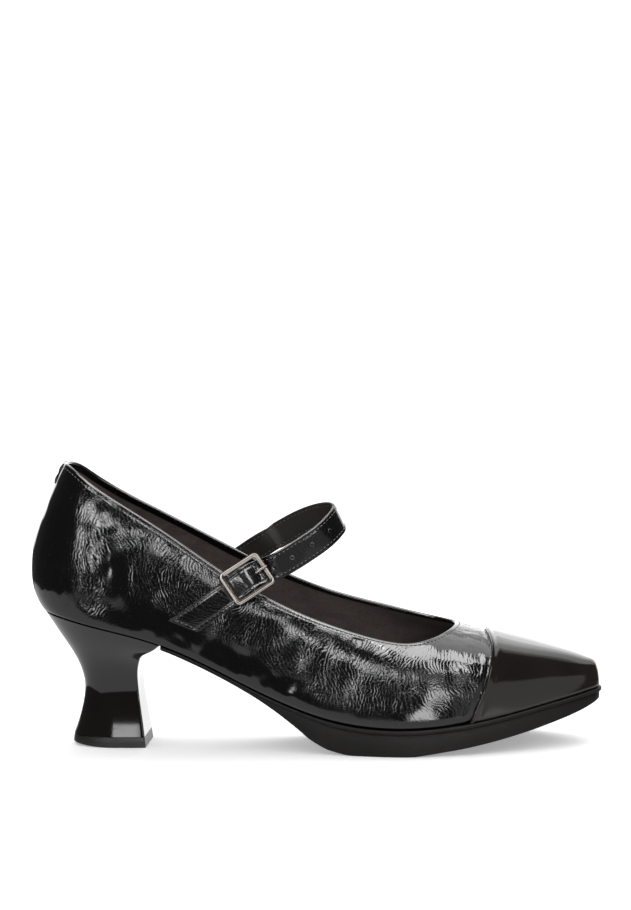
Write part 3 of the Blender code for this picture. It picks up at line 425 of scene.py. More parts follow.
def solid(name, points, faces, looks, slot, replaces=(), uv=None, face_look=None, sharp=60, creased=1.0):
    """Piece of quads from points in the shoe's millimetres.  Points closer than a tenth of a micron are one,
    a quad that has lost a corner becomes a triangle, and faces point outwards: the signed volume, the sum of
    p0 . (p1 x p2) / 6, is positive.  uv is [face, corner, 2] in metres, creased how strongly each point's
    leather is wrinkled."""
    creased = np.broadcast_to(np.asarray(creased, float), points.shape[:-1]).reshape(-1)
    points = points.reshape(-1, 3)
    _, first, number = np.unique(np.round(points, 4), axis=0, return_index=True, return_inverse=True)
    points, faces = points[first], number.reshape(-1)[faces]
    face_look = np.zeros(len(faces), int) if face_look is None else face_look
    uv = np.zeros(faces.shape + (2,)) if uv is None else uv
    a, b, c, d = (points[faces[:, k]] for k in range(4))
    if (a * (np.cross(b, c) + np.cross(c, d))).sum() < 0:
        faces, uv = faces[:, ::-1], uv[:, ::-1]
    lost = faces == np.roll(faces, -1, axis=1)
    whole, three = lost.sum(axis=1) == 0, lost.sum(axis=1) == 1
    left = ~lost[three]
    corners = np.concatenate([faces[whole].ravel(), faces[three][left]])
    starts = np.concatenate([np.arange(whole.sum()) * 4, whole.sum() * 4 + np.arange(three.sum()) * 3])
    mesh = bpy.data.meshes.new(name)
    mesh.vertices.add(len(points))
    mesh.vertices.foreach_set("co", ((points - np.array([*SHOE_CENTRE, 0])) * MM).ravel())
    mesh.loops.add(len(corners))
    mesh.loops.foreach_set("vertex_index", corners)
    mesh.polygons.add(len(starts))
    mesh.polygons.foreach_set("loop_start", starts)
    for look in looks:
        mesh.materials.append(look)
    mesh.polygons.foreach_set("material_index", np.concatenate([face_look[whole], face_look[three]]))
    mesh.update(calc_edges=True)
    layout = np.concatenate([uv[whole].reshape(-1, 2), uv[three][left]])
    mesh.uv_layers.new(name="UVMap").data.foreach_set("uv", layout.ravel())
    mesh.attributes.new("creased", "FLOAT", "POINT").data.foreach_set("value", creased[first])
    mesh.validate()
    mesh.shade_smooth()
    mesh.set_sharp_from_angle(angle=math.radians(sharp))
    made = put_in(name, mesh)
    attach(made, "root")
    if replaces:
        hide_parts(*replaces)


def tube(rings):
    """Points and quads of a closed body from rings [station, point], each ring mirrored about the line
    through its points 0 and n / 2, so that an end is closed by straps between partners."""
    stations, count = rings.shape[:2]
    i = np.arange(count // 2)
    strap = np.stack([i, i + 1, (count - i - 1) % count, (count - i) % count], -1)
    faces = [grid_faces(stations, count, wrap_columns=True), strap, strap[:, ::-1] + (stations - 1) * count]
    return rings.reshape(-1, 3), np.concatenate(faces)


def stacked(rings):
    """Points and quads of a solid from rings [level, point] that run from the outer side to the inner side,
    mirrored point for point: walls between levels, straps from side to side on the two ends, and an end wall
    between the rings' own ends."""
    levels, count = rings.shape[:2]
    i = np.arange(count // 2)
    strap = np.stack([i, i + 1, count - 2 - i, count - 1 - i], -1)
    base = np.arange(levels - 1) * count
    wall = np.stack([base, base + count, base + 2 * count - 1, base + count - 1], -1)
    faces = [grid_faces(levels, count), strap, strap[:, ::-1] + (levels - 1) * count, wall]
    return rings.reshape(-1, 3), np.concatenate(faces)


def slab(top, bottom):
    """Points and quads of a closed slab between two grids of the same shape."""
    rows, columns = top.shape[:2]
    count = rows * columns
    number = np.arange(count).reshape(rows, columns)
    rim = np.concatenate([number[0, :-1], number[:-1, -1], number[-1, :0:-1], number[:0:-1, 0]])
    after = np.roll(rim, -1)
    walls = np.stack([rim, after, after + count, rim + count], -1)
    face = grid_faces(rows, columns)
    points = np.concatenate([top.reshape(-1, 3), bottom.reshape(-1, 3)])
    return points, np.concatenate([face, face[:, ::-1] + count, walls])


def wire(path, thick, first, second, sides):
    """Tube along a path: circles of the radii thick between two directions across it."""
    cosine, sine = (part[None, :, None] for part in circle(sides))
    across = cosine * np.reshape(first, (-1, 1, 3)) + sine * np.reshape(second, (-1, 1, 3))
    return tube(path[:, None] + np.reshape(thick, (-1, 1, 1)) * across)


def stitches(name, paths, look):
    """Stitches along finely sampled paths, each a pair of points and surface normals: places one STITCH_STEP
    apart, each stitch a short tube turned to the path's direction whose ends bow down into their holes."""
    t = np.linspace(-1, 1, 7)
    core = np.stack([t * STITCH_LENGTH / 2, 0 * t, STITCH_RADIUS * (0.6 - 1.9 * t**4)], -1)
    shape, faces = wire(core, STITCH_RADIUS * np.sqrt(1 - 0.9 * t**6), (0, 1, 0), (0, 0, 1), 6)
    places, turns = [], []
    for path, normal in paths:
        run = run_length(path)
        count = int(run[-1] / STITCH_STEP)
        at = (np.arange(count) + 0.5) * run[-1] / count
        middle, ahead, behind, up = (
            np.stack([np.interp(where, run, rows[:, k]) for k in range(3)], -1)
            for where, rows in ((at, path), (at + 0.3, path), (at - 0.3, path), (at, normal)))
        up = unit(up)
        side = unit(np.cross(up, unit(ahead - behind)))
        places.append(middle)
        turns.append(np.stack([unit(np.cross(side, up)), side, up], 1))
    places, turns = np.concatenate(places), np.concatenate(turns)
    points = places[:, None] + np.einsum("pk,nkc->npc", shape, turns)
    solid(name, points, repeated(faces, len(places), len(shape)), [look], "patent")


# ---- material helpers -------------------------------------------------------------------------
class Nodes:
    """Shorthand for one node tree: add a node, set its sockets by name or number, link others to them."""

    def __init__(self, tree):
        self.tree = tree

    def add(self, kind, outlet=0, settings=None, **inputs):
        """Output of a new node; an input is named as on the node, or by i and its number."""
        made = self.tree.nodes.new("ShaderNode" + kind)
        for key, value in (settings or {}).items():
            setattr(made, key, value)
        for key, value in inputs.items():
            self.put(made.inputs[int(key[1:]) if key[1:].isdigit() else key.replace("_", " ")], value)
        return made.outputs[outlet]

    def put(self, socket, value):
        """Link a socket to an input, or set it; a colour gets its alpha."""
        if isinstance(value, bpy.types.NodeSocket):
            self.tree.links.new(value, socket)
        else:
            socket.default_value = (*value, 1) if socket.type == "RGBA" else value

    def use(self, name, **inputs):
        """Outputs of a node group, placed with its own values."""
        made = self.tree.nodes.new("ShaderNodeGroup")
        made.node_tree = bpy.data.node_groups[name]
        for key, value in inputs.items():
            self.put(made.inputs[key], value)
        return made.outputs

    def math(self, operation, first, second=0.0, third=0.0):
        """One operation on up to three values."""
        return self.add("Math", settings={"operation": operation}, i0=first, i1=second, i2=third)

    def plus(self, first, second):
        """first + second."""
        return self.math("ADD", first, second)

    def times(self, first, second):
        """first * second."""
        return self.math("MULTIPLY", first, second)

    def times_plus(self, first, second, third):
        """first * second + third."""
        return self.math("MULTIPLY_ADD", first, second, third)

    def span(self, value, low, high, to_low=0.0, to_high=1.0):
        """Smooth step from to_low to to_high as the value goes from low to high."""
        return self.add("MapRange", settings={"interpolation_type": "SMOOTHSTEP"}, Value=value, From_Min=low,
                        From_Max=high, To_Min=to_low, To_Max=to_high)

    def noise(self, vector, scale, detail=2.0, rough=0.5, distortion=0.0, outlet=0):
        """Noise over a place, as a value or with outlet 1 as a colour."""
        return self.add("TexNoise", outlet, Vector=vector, Scale=scale, Detail=detail, Roughness=rough,
                        Distortion=distortion)

    def blend(self, share, first, second):
        """Mix of two colours by the share of the second."""
        return self.add("Mix", 2, {"data_type": "RGBA"}, i0=share, i6=first, i7=second)

    def stretch(self, vector, scale, turn=0.0):
        """Place scaled along each axis and turned about z."""
        return self.add("Mapping", Vector=vector, Scale=scale, Rotation=(0, 0, turn))


class Look(Nodes):
    """Material with one principled shader, laid out by the object's own coordinates."""

    def __init__(self, name):
        self.material = bpy.data.materials.new(name)
        self.material.use_nodes = True
        super().__init__(self.material.node_tree)
        self.tree.nodes.clear()
        self.skin = self.tree.nodes.new("ShaderNodeBsdfPrincipled")
        end = self.tree.nodes.new("ShaderNodeOutputMaterial")
        self.tree.links.new(self.skin.outputs[0], end.inputs[0])
        self.at = self.add("TexCoord", 3)

    def marks(self, amount):
        """Signs of handling, Rough and Dust."""
        return self.use("handling", Vector=self.at, Amount=amount)

    def grain(self, scale):
        """Fine grain, Height and Mask."""
        return self.use("grain", Vector=self.at, Scale=scale)

    def dress(self, colour, rough, height=None, strength=1.0, depth=0.0, **plain):
        """Feed the shader its colour, roughness and a bump, and put constants on its other sockets."""
        self.put(self.skin.inputs["Base Color"], colour)
        self.put(self.skin.inputs["Roughness"], rough)
        if height is not None:
            normal = self.add("Bump", Strength=strength, Distance=depth, Height=height)
            self.put(self.skin.inputs["Normal"], normal)
        for key, value in plain.items():
            self.put(self.skin.inputs[key.replace("_", " ")], value)
        return self.material


def group(name, gives, **takes):
    """Empty shader node group: a vector and values with their defaults in, values out."""
    tree = bpy.data.node_groups.new(name, "ShaderNodeTree")
    tree.interface.new_socket("Vector", in_out="INPUT", socket_type="NodeSocketVector")
    for key, value in takes.items():
        tree.interface.new_socket(key, in_out="INPUT", socket_type="NodeSocketFloat").default_value = value
    for key in gives:
        tree.interface.new_socket(key, in_out="OUTPUT", socket_type="NodeSocketFloat")
    inside, outside = tree.nodes.new("NodeGroupInput"), tree.nodes.new("NodeGroupOutput")
    return Nodes(tree), inside.outputs, outside.inputs


def crinkle_group():
    """Wrinkles of crushed patent leather, as height: two nets of even ripples, a drawn-out one of 1.6 mm
    whose direction turns slowly and a finer one of 1.1 mm.  Each takes the phase of a random field of one
    wavelength; smooth low domes stand between narrow V-shaped grooves where the phase turns over.  A slow
    noise bends them, another lets the finer net take over in places.  Vector is in metres round the shoe and
    up the leather."""
    n, take, give = group("crinkle", ("Height", "Groove"), Strength=1.0)
    slow = n.noise(take["Vector"], 70.0, outlet=1)
    bend = {"operation": "MULTIPLY_ADD"}
    bent = n.add("VectorMath", settings=bend, i0=slow, i1=(0.007, 0.007, 0), i2=take["Vector"])
    turn = n.times_plus(n.noise(take["Vector"], 26.0, 1.0), 4.4, -2.2)
    nets = []
    for length, drawn, lean in ((0.0016, 0.78, 0.0), (0.0011, 0.30, 0.9)):
        phase = n.add("TexGabor", 1, {"gabor_type": "2D"}, Vector=bent, Scale=0.5 / length, Frequency=2.0,
                      Anisotropy=drawn, Orientation=n.plus(turn, lean))
        from_top = n.times(n.math("ABSOLUTE", n.math("SUBTRACT", phase, 0.5)), 2.0)
        nets.append(n.span(from_top, 0.30, 1.25, 1.0, 0.0))
    share = n.span(n.noise(take["Vector"], 110.0), 0.42, 0.62)
    coarse = n.times(nets[0], n.math("SUBTRACT", 1.0, n.times(share, 0.6)))
    fine = n.times(nets[1], n.times_plus(share, 0.35, 0.12))
    height = n.times_plus(n.noise(bent, 300.0, 1.0), 0.5, n.plus(coarse, fine))
    n.put(give["Height"], n.times(height, take["Strength"]))
    n.put(give["Groove"], nets[0])


def handling_group():
    """Faint smears, specks of dust and fine scratches that change the gloss: a slow noise for smears, a sharp
    one for specks and a stretched one for scratches."""
    n, take, give = group("handling", ("Rough", "Dust"), Amount=1.0)
    smear = n.span(n.noise(take["Vector"], 38.0, 4.0, 0.6), 0.45, 0.75)
    speck = n.span(n.noise(take["Vector"], 1900.0, 1.0), 0.74, 0.82)
    line = n.span(n.noise(n.stretch(take["Vector"], (1, 14, 9), 0.5), 60.0, 3.0, 0.7), 0.66, 0.74)
    rough = n.plus(n.times(smear, 0.05), n.times(line, 0.05))
    n.put(give["Rough"], n.times(rough, take["Amount"]))
    n.put(give["Dust"], n.times(speck, take["Amount"]))


def grain_group():
    """Fine even grain: two noises an octave and a half apart, as height and as a colour mask."""
    n, take, give = group("grain", ("Height", "Mask"), Scale=1000.0)
    coarse = n.noise(take["Vector"], take["Scale"], 3.0, 0.6)
    fine = n.noise(take["Vector"], n.times(take["Scale"], 2.9))
    n.put(give["Height"], n.times_plus(coarse, 0.7, n.times(fine, 0.3)))
    n.put(give["Mask"], n.span(coarse, 0.35, 0.65))


def patent_look(name, depth, ink, rough):
    """Patent leather: black film over creased leather.  The film sinks into the creases, where it is a little
    rougher and holds dust."""
    n = Look(name)
    creased = n.add("Attribute", 2, {"attribute_name": "creased"})
    flat = n.add("UVMap", settings={"uv_map": "UVMap"})
    wrinkle = n.use("crinkle", Vector=flat, Strength=creased)
    marks = n.marks(1.0)
    dusty = n.times(n.math("SUBTRACT", 1.0, wrinkle["Groove"]), n.times(creased, 0.3))
    film = n.blend(dusty, ink, (0.010, 0.009, 0.009))
    colour = n.blend(n.times(marks["Dust"], 0.4), film, (0.2, 0.19, 0.18))
    gloss = n.plus(marks["Rough"], n.times_plus(dusty, 0.5, rough))
    return n.dress(colour, gloss, wrinkle["Height"], 1.0, depth)


def smooth_patent_look():
    """Smooth patent of the toe cap: the same film over calm leather, with faint orange peel."""
    n = Look("smooth_patent")
    marks = n.marks(0.7)
    slow = n.noise(n.at, 60.0, 1.0)
    film = n.blend(n.span(slow, 0.3, 0.7), (0.0080, 0.0060, 0.0052), (0.0105, 0.0080, 0.0070))
    colour = n.blend(n.times(marks["Dust"], 0.3), film, (0.15, 0.14, 0.13))
    peel = n.times_plus(n.noise(n.at, 420.0), 0.25, slow)
    return n.dress(colour, n.plus(marks["Rough"], 0.11), peel, 1.0, 0.00006)


def suede_look(name, dark, light, grain_scale):
    """Brushed lining: short nap with lighter and darker strokes and a soft sheen."""
    n = Look(name)
    grain = n.grain(grain_scale)
    stroke = n.span(n.noise(n.stretch(n.at, (0.5, 1.0, 1.6)), 90.0, 4.0, 0.62, 0.5), 0.3, 0.72)
    colour = n.blend(n.times_plus(stroke, 0.65, n.times(grain["Mask"], 0.35)), dark, light)
    sheen = {"Sheen_Weight": 0.25, "Sheen_Roughness": 0.5, "Sheen_Tint": (0.75, 0.68, 0.64)}
    return n.dress(colour, n.times_plus(grain["Mask"], 0.1, 0.78), grain["Height"], 0.5, 0.00025,
                   Specular_IOR_Level=0.2, **sheen)


def rubber_look(name, dark, light, rough, shine):
    """Moulded rubber: a fine matte pebble, slightly polished where it rubs."""
    n = Look(name)
    grain = n.grain(1500.0)
    slow = n.span(n.noise(n.at, 32.0, 3.0, 0.6), 0.3, 0.7)
    matt = n.plus(n.times_plus(grain["Mask"], 0.08, rough), n.marks(1.4)["Rough"])
    return n.dress(n.blend(slow, dark, light), matt, grain["Height"], 0.45, 0.00018, Specular_IOR_Level=shine)


def lacquer_look():
    """Heel lacquer: deep glossy black with hairline marks and slow waves."""
    n = Look("heel_lacquer")
    slow = n.noise(n.at, 40.0, 1.5)
    colour = n.blend(n.span(slow, 0.3, 0.7), (0.0040, 0.0032, 0.0030), (0.0060, 0.0046, 0.0043))
    return n.dress(colour, n.plus(n.marks(0.8)["Rough"], 0.07), slow, 1.0, 0.00012)


def metal_look():
    """Polished nickel plate with hair scratches and slow random patches of a darker tone."""
    n = Look("polished_nickel")
    slow = n.span(n.noise(n.at, 220.0, 3.0, 0.6), 0.35, 0.7)
    colour = n.blend(slow, (0.40, 0.355, 0.325), (0.48, 0.44, 0.41))
    scratch = n.noise(n.stretch(n.at, (1, 6, 6)), 500.0)
    return n.dress(colour, n.plus(n.marks(1.2)["Rough"], 0.17), scratch, 0.3, 0.00004, Metallic=1.0)


def thread_look():
    """Waxed black thread: a twist along the stitch."""
    n = Look("waxed_thread")
    twist = n.noise(n.stretch(n.at, (1.0, 2.2, 2.2), 0.6), 1800.0)
    return n.dress(n.blend(n.span(twist, 0.3, 0.7), (0.012, 0.011, 0.011), (0.055, 0.05, 0.048)), 0.42, twist,
                   0.6, 0.00012)


# ---- upper ------------------------------------------------------------------------------------
def creases(points):
    """Height of the listed folds.  Each runs along a segment between two places on the last; with d the
    distance from it in widths the height is depth (exp(-d^2) - 0.45 exp(-(|d| - 1.9)^2))."""
    total = np.zeros(points.shape[:-1])
    for x0, turn0, x1, turn1, depth, width in CREASES:
        r, turn = toe_share([x0, x1]), np.radians([turn0, turn1])
        start, end = last_point(r * np.cos(turn), r * np.sin(turn))
        run = end - start
        share = np.clip((points - start) @ run / (run @ run), 0, 1)
        d = np.linalg.norm(points - start - share[..., None] * run, axis=-1) / width
        total += depth * (bell(d, 0, 1) - 0.45 * bell(d, 1.9, 1))
    return total


def waves(points, low, high, seed, upright=1.0):
    """Soft random field, about -1 to 1: a sixth of the sum of 36 sines with seeded directions and wavelengths
    between low and high (mm); upright below 1 draws the pattern out up and down."""
    draw = np.random.default_rng(seed)
    way = unit(draw.normal(size=(36, 3))) * np.array([1, 1, upright])
    length = draw.uniform(low, high, 36)
    phase = draw.uniform(0, FULL_TURN, 36)
    total = np.sin(points.reshape(-1, 3) @ (way * FULL_TURN / length[:, None]).T + phase).sum(axis=1) / 6.0
    return total.reshape(points.shape[:-1])


def roll_in(x, to_top):
    """The quarters' last 16 mm under the top line lean in a little, by up to 0.7 mm."""
    return -0.7 * np.clip(1 - to_top / 16, 0, 1) ** 2 * ease(12, 40, x) * (1 - ease(100, 140, x))


def upper_grid(columns, levels, crowding):
    """Grid on the last from the feather edge to the top line, its levels closer together at the top line with
    crowding above 1: columns a, levels b, places in the disc, points, normals, and the lengths up from the
    feather edge and down from the top line."""
    turn = np.arange(columns) / columns
    a = turn - 0.5 * np.sin(4 * math.pi * turn) / (4 * math.pi)
    grid = np.broadcast_to(a[:, None], (columns, levels))
    b = np.broadcast_to(1 - (1 - np.linspace(0, 1, levels)) ** crowding, grid.shape)
    u, w = upper_disc(grid, b)
    points = last_point(u, w)
    rise = np.linalg.norm(np.diff(points, axis=1), axis=-1)
    up = np.concatenate([np.zeros((columns, 1)), np.cumsum(rise, axis=1)], axis=1)
    return a, b, u, w, points, last_normal(u, w), up, up[:, -1:] - up


def foot_level(b, up, height):
    """For each column the level b at which the length up the leather passes a height."""
    return np.take_along_axis(b, (up < height).sum(axis=1)[:, None], axis=1)[:, 0]


def leather_height(points, u, w, up, to_top):
    """Height of the leather over the last: the listed folds, soft waves and a net of shallow creases where
    a drawn-out field passes zero, all calm at the feather edge and the rim; fullness above the feather edge;
    a groove under the rim, one along the back seam and one where the cap's edge presses in."""
    x = points[..., 0]
    height = creases(points) + (0.07 * waves(points, 9, 20, 1) + 0.030 * waves(points, 3.5, 6, 2, 0.6))
    net = waves(points, 7, 15, 3, 0.5)
    height -= 0.06 * bell(net, 0, 0.30) * ease(-0.5, 0.6, waves(points, 24, 40, 4))
    height *= ease(1, 12, up) * (0.15 + 0.85 * ease(0.5, 5, to_top))
    full, high, half = (np.interp(x, column(FULLNESS, 0), column(FULLNESS, k)) for k in (1, 2, 3))
    height += full * bell(up, high, half) * ease(0, 4, up) - 0.14 * bell(to_top, RIM_GROOVE, 0.42)
    at = LAST_LENGTH * np.cos(math.pi * np.hypot(u, w) / 2) ** 2
    to_cap = along_rows(CAP_SEAM, np.degrees(np.arctan2(w, u))) - at
    height += 0.12 * bell(to_cap, 2.6, 1.5) - 0.30 * bell(to_cap, 0.5, 0.9)
    return height * ease(-2.5, -0.5, to_cap) - 0.22 * bell(np.abs(points[..., 1]) + 1e3 * (x > 20), 0, 0.45)


def rolled_rim(top, side):
    """Half circle over the rim from the skin's top points inwards, between their normals and the direction
    upright to the top line, its centre 0.5 mm down."""
    half = WALL / 2 + 0.1
    upright = unit(np.cross(side, np.roll(top, -1, axis=0) - np.roll(top, 1, axis=0)))
    upright *= np.sign(upright[:, 2:3])
    theta = np.linspace(0, math.pi, 11)[None, :, None]
    rim = np.cos(theta) * side[:, None] + np.sin(theta) * upright[:, None]
    return (top - side * half - upright * 0.5)[:, None] + half * rim


def lasting_margin(a):
    """Foot of the wall's inner side and the margin under the foot, whose edge is the feather edge drawn in to
    FLANGE_SCALE of its width and by FLANGE_SETBACK at both ends."""
    edge, plan = edge_points(upper_disc(a, 0 * a)[0])
    margin = np.array([0, 0, FLANGE_THICK])
    back = BACK_CURVE[0][1]
    share = (edge[:, 0] - back) / (LAST_LENGTH - back)
    x = back + FLANGE_SETBACK + share * (LAST_LENGTH - back - 2 * FLANGE_SETBACK)
    middle, there = (last_column(1, 1, 1, toe_share(at)) for at in (x, edge[:, 0]))
    under = np.stack([x, middle + (edge[:, 1] - there) * FLANGE_SCALE, feather_height(x)], -1)
    return np.stack([edge - plan * WALL + margin, under + margin, under], 1)


def wrinkled(points, up):
    """How wrinkled the skin is: less at the feather edge and the back, least in the SMOOTH places."""
    skin = 0.25 + 0.75 * ease(3, 14, up) * ease(9, 28, points[..., 0])
    for x, high, half_x, half_up in SMOOTH:
        d = np.hypot((points[..., 0] - x) / half_x, (up - high) / half_up)
        skin = skin * (1 - 0.85 * (1 - ease(0.6, 1.3, d)))
    return skin


def rim_seam(outer, normal, to_top):
    """Path of the seam where the skin passes RIM_GROOVE under the top line, and its normals."""
    row = (to_top > RIM_GROOVE).sum(axis=1)[:, None] - 1
    above, below = (np.take_along_axis(to_top, row + step, axis=1) for step in (1, 0))
    share = ((below - RIM_GROOVE) / (below - above))[..., None]
    seam, way = (np.take_along_axis(part, row[..., None], axis=1) * (1 - share) +
                 np.take_along_axis(part, row[..., None] + 1, axis=1) * share for part in (outer, normal))
    return [(seam[:, 0] + 0.04 * way[:, 0], unit(way[:, 0]))]


def make_upper(look):
    """Leather of the upper, one loop for each column round the shoe: outer skin from the feather edge to the
    top line, over the rim on a half circle, down inside as a folded band, behind the lining to the lasting
    margin and back under the foot.  Gives the seam under the rim."""
    columns, levels = 760, 104
    a, b, u, w, base, normal, up, to_top = upper_grid(columns, levels, 1.25)
    tuck = -0.8 * (1 - round_edge(up, 1.5))
    height = leather_height(base, u, w, up, to_top) + roll_in(base[..., 0], to_top) + tuck
    outer = base + normal * height[..., None]
    slope = (b[:, -1] - b[:, -9]) / to_top[:, -9]
    thick = WALL + 0.2
    band = []
    for down, depth in ((1.2, thick), (1.9, thick), (2.6, thick), (BAND - 0.25, thick - 0.03),
                        (BAND - 0.06, thick - 0.16), (BAND, thick - 0.42), (BAND + 0.1, LEATHER)):
        out = roll_in(base[:, -1, 0], down) - depth
        band.append(last_point(*upper_disc(a, 1 - down * slope), out)[:, None])
    foot = foot_level(b, up, 2.2)[:, None]
    shares = np.linspace(1, 0, 9)[None, 1:] * (1 - (BAND + 0.1) * slope[:, None] - foot) + foot
    hidden = last_point(*upper_disc(np.broadcast_to(a[:, None], shares.shape), shares), -LEATHER)
    keep = (to_top > 0.75).sum(axis=1).min()
    rim = rolled_rim(outer[:, -1], normal[:, -1])
    points = np.concatenate([outer[:, :keep], rim, *band, hidden, lasting_margin(a)], axis=1)
    inside = np.full((columns, points.shape[1] - keep), 0.35)
    creased = np.concatenate([wrinkled(base[:, :keep], up[:, :keep]), inside], axis=1)
    solid("upper_leather", points, loop_faces(points), [look], "patent", ["upper"], on_sheet(points),
          creased=creased)
    return rim_seam(outer, normal, to_top)


def on_sheet(points):
    """For each face's corners the place in metres on the leather laid flat: the length of the feather outline
    from the back to the point's x, and the height of the column's foot plus the length up the section.  The
    inner side runs on over the toe: twice the value on the toe's middle line minus its own."""
    ring = np.concatenate([points, points[:1]], axis=0)
    ring = np.concatenate([ring, ring[:, :1]], axis=1)
    toe = len(points) // 2
    edge = ring[: toe + 1, 0]
    along = np.interp(ring[..., 0], edge[:, 0], run_length(edge))
    step = np.hypot(*np.moveaxis(np.diff(ring[..., 1:], axis=1), -1, 0))
    up = ring[:, :1, 2] + np.concatenate([np.zeros((len(ring), 1)), np.cumsum(step, axis=1)], axis=1)
    middle = slice(0, np.argmin(ring[toe, :, 0]))
    fold = np.interp(ring[..., 0], ring[toe, middle, 0][::-1], up[toe, middle][::-1])
    up[toe + 1:] = 2 * fold[toe + 1:] - up[toe + 1:]
    return face_corners(np.stack([along, up], -1) * MM)


def make_lining(look):
    """Lining from under the folded band down to the insole, its face padded a little between."""
    columns, levels = 420, 70
    a, b, _, _, _, _, up, to_top = upper_grid(columns, levels, 1.0)
    slope = ((b[:, -1] - b[:, -5]) / to_top[:, -5])[:, None]
    foot = foot_level(b, up, 2.0)[:, None]
    share = foot + (1 - (BAND - 0.8) * slope - foot) * np.linspace(0, 1, levels)[None]
    u, w = upper_disc(np.broadcast_to(a[:, None], share.shape), share)
    points = last_point(u, w)
    down = (1 - share) / slope
    lean = roll_in(points[..., 0], down)
    face = lean - WALL + 0.05 * waves(points, 12, 30, 7) - 0.1 * ease(BAND, BAND + 6, down)
    outside = last_point(u[:, ::-1], w[:, ::-1], (lean - LEATHER - 0.06)[:, ::-1])
    loop = np.concatenate([last_point(u, w, face), outside], axis=1)
    solid("lining", loop, loop_faces(loop), [look], "lining")


def nearest(points, u, w):
    """Distance of each point from the nearest point of a finely sampled line on the last."""
    line = last_point(u, w)
    flat = points.reshape(-1, 3)
    square = (flat**2).sum(1)[:, None] + (line**2).sum(1)[None] - 2 * flat @ line.T
    return np.sqrt(np.maximum(square.min(axis=1), 0)).reshape(points.shape[:-1])


def make_toe_cap(look):
    """Smooth cap over the toe: rings from a middle point of the cap's patch of the disc out to its edge,
    which is the seam and the feather edge.  With t its thickness and d the distance from the seam, the face
    stands t sqrt(1 - (1 - d / 0.6)^2) + bead over the last, and it tucks in at the feather edge."""
    count, rings = 560, 74
    turn = np.linspace(0, math.pi, 900)
    share = toe_share(along_rows(CAP_SEAM, np.degrees(turn)))
    seam = np.stack([share * np.cos(turn), share * np.sin(turn)], -1)
    foot = np.linspace(seam[-1], seam[0], 900)[1:-1]
    border = np.concatenate([seam, foot, seam[:1]])
    t = even_spacing(last_point(*border.T), count + 1)[:-1]
    knots = np.linspace(0, 1, len(border))
    edge = np.stack([np.interp(t, knots, border[:, k]) for k in range(2)], -1)
    middle = np.array([0.0, 0.13])
    level = 1 - (1 - np.linspace(0, 1, rings)) ** 1.7
    u, w = np.moveaxis(middle + (edge - middle)[:, None] * level[None, :, None], -1, 0)
    base = last_point(u, w)
    from_seam, from_foot = (nearest(base, *line[::2].T) for line in (seam, foot))
    bead = 0.22 * bell(from_seam, 1.0, 0.8) - 0.10 * bell(from_seam, 3.0, 1.1)
    thick = (CAP_CLEAR + CAP_THICK) * round_edge(from_seam + 0.02, 0.6)
    tuck = -0.9 * (1 - round_edge(from_foot, 1.6)) * ease(0, 2, from_seam)
    swell = 0.06 * waves(base, 14, 30, 11) * ease(1, 8, from_seam) * ease(0, 6, from_foot)
    low = [rings - 1, rings - 8, rings // 2, 0]
    loop = np.concatenate([last_point(u, w, thick + bead * ease(0, 0.6, from_seam) + tuck + swell),
                           last_point(u[:, low], w[:, low], 0.05)], axis=1)
    solid("cap_leather", loop, grid_faces(*loop.shape[:2], wrap_rows=True), [look], "toe_patent", ["toe_cap"])


# ---- sole, insole, heel -----------------------------------------------------------------------
def make_outsole(look):
    """Rubber sole, rings from the top of the lip to the tread: round lip, groove, wall drawn in a little
    towards the floor, rounded lower edge."""
    reach = float(toe_share(BREAST_X + CLEAR))
    widest = math.pi / 2 * SOLE_CROWDING
    q = reach * np.sin(np.linspace(-widest, widest, SOLE_STATIONS)) / math.sin(widest)
    edge, plan = edge_points(-q)
    x = edge[:, 0]
    top = feather_height(x) - CLEAR
    depth = top - along_rows(TREAD, x, curve=tame)
    front = ease(*LIP_FADE, x)
    lip = LIP_OUT * front + (CAP_CLEAR + CAP_THICK) * ease(*CAP_FADE, x)
    lip_depth = np.minimum(LIP_HEIGHT, depth * 0.4)
    wall = lip - LIP_STEP * front
    low = wall - SOLE_TAPER
    rounded = low - SOLE_EDGE_ROUND
    profile = [(lip - 1.6, 0 * x), (lip - 0.5, 0 * x)]
    profile += [(lip - 0.5 + 0.5 * sine, 0.45 * bow) for bow, sine in arc((0.25, 0.5, 0.75, 1.0))]
    profile += [(lip, lip_depth - 0.4)]
    profile += [(lip - 0.35 * bow, lip_depth - 0.4 + 0.4 * sine) for bow, sine in arc((0.35, 0.7, 1.0))]
    profile += [(wall - 0.35 * front, lip_depth + 0.05), (wall - 0.42 * front, lip_depth + 0.3),
                (wall - 0.2 * front, lip_depth + 0.55), (wall, lip_depth + 0.8),
                (wall - SOLE_TAPER * 0.5, depth * 0.62), (low, depth - SOLE_EDGE_ROUND)]
    profile += [(low - SOLE_EDGE_ROUND * bow, depth - SOLE_EDGE_ROUND * (1 - sine))
                for bow, sine in arc((0.2, 0.4, 0.6, 0.8, 1.0))]
    profile += [(rounded - 1.2, depth), (rounded - 1.8, depth - RIB_RISE), (rounded - 2.6, depth - RIB_RISE)]
    rings = np.stack([edge + plan * out[:, None] for out, _ in profile])
    rings[..., 2] = np.stack([top - drop for _, drop in profile])
    solid("sole_unit", *stacked(rings), [look], "sole_rubber", ["outsole"], sharp=75)


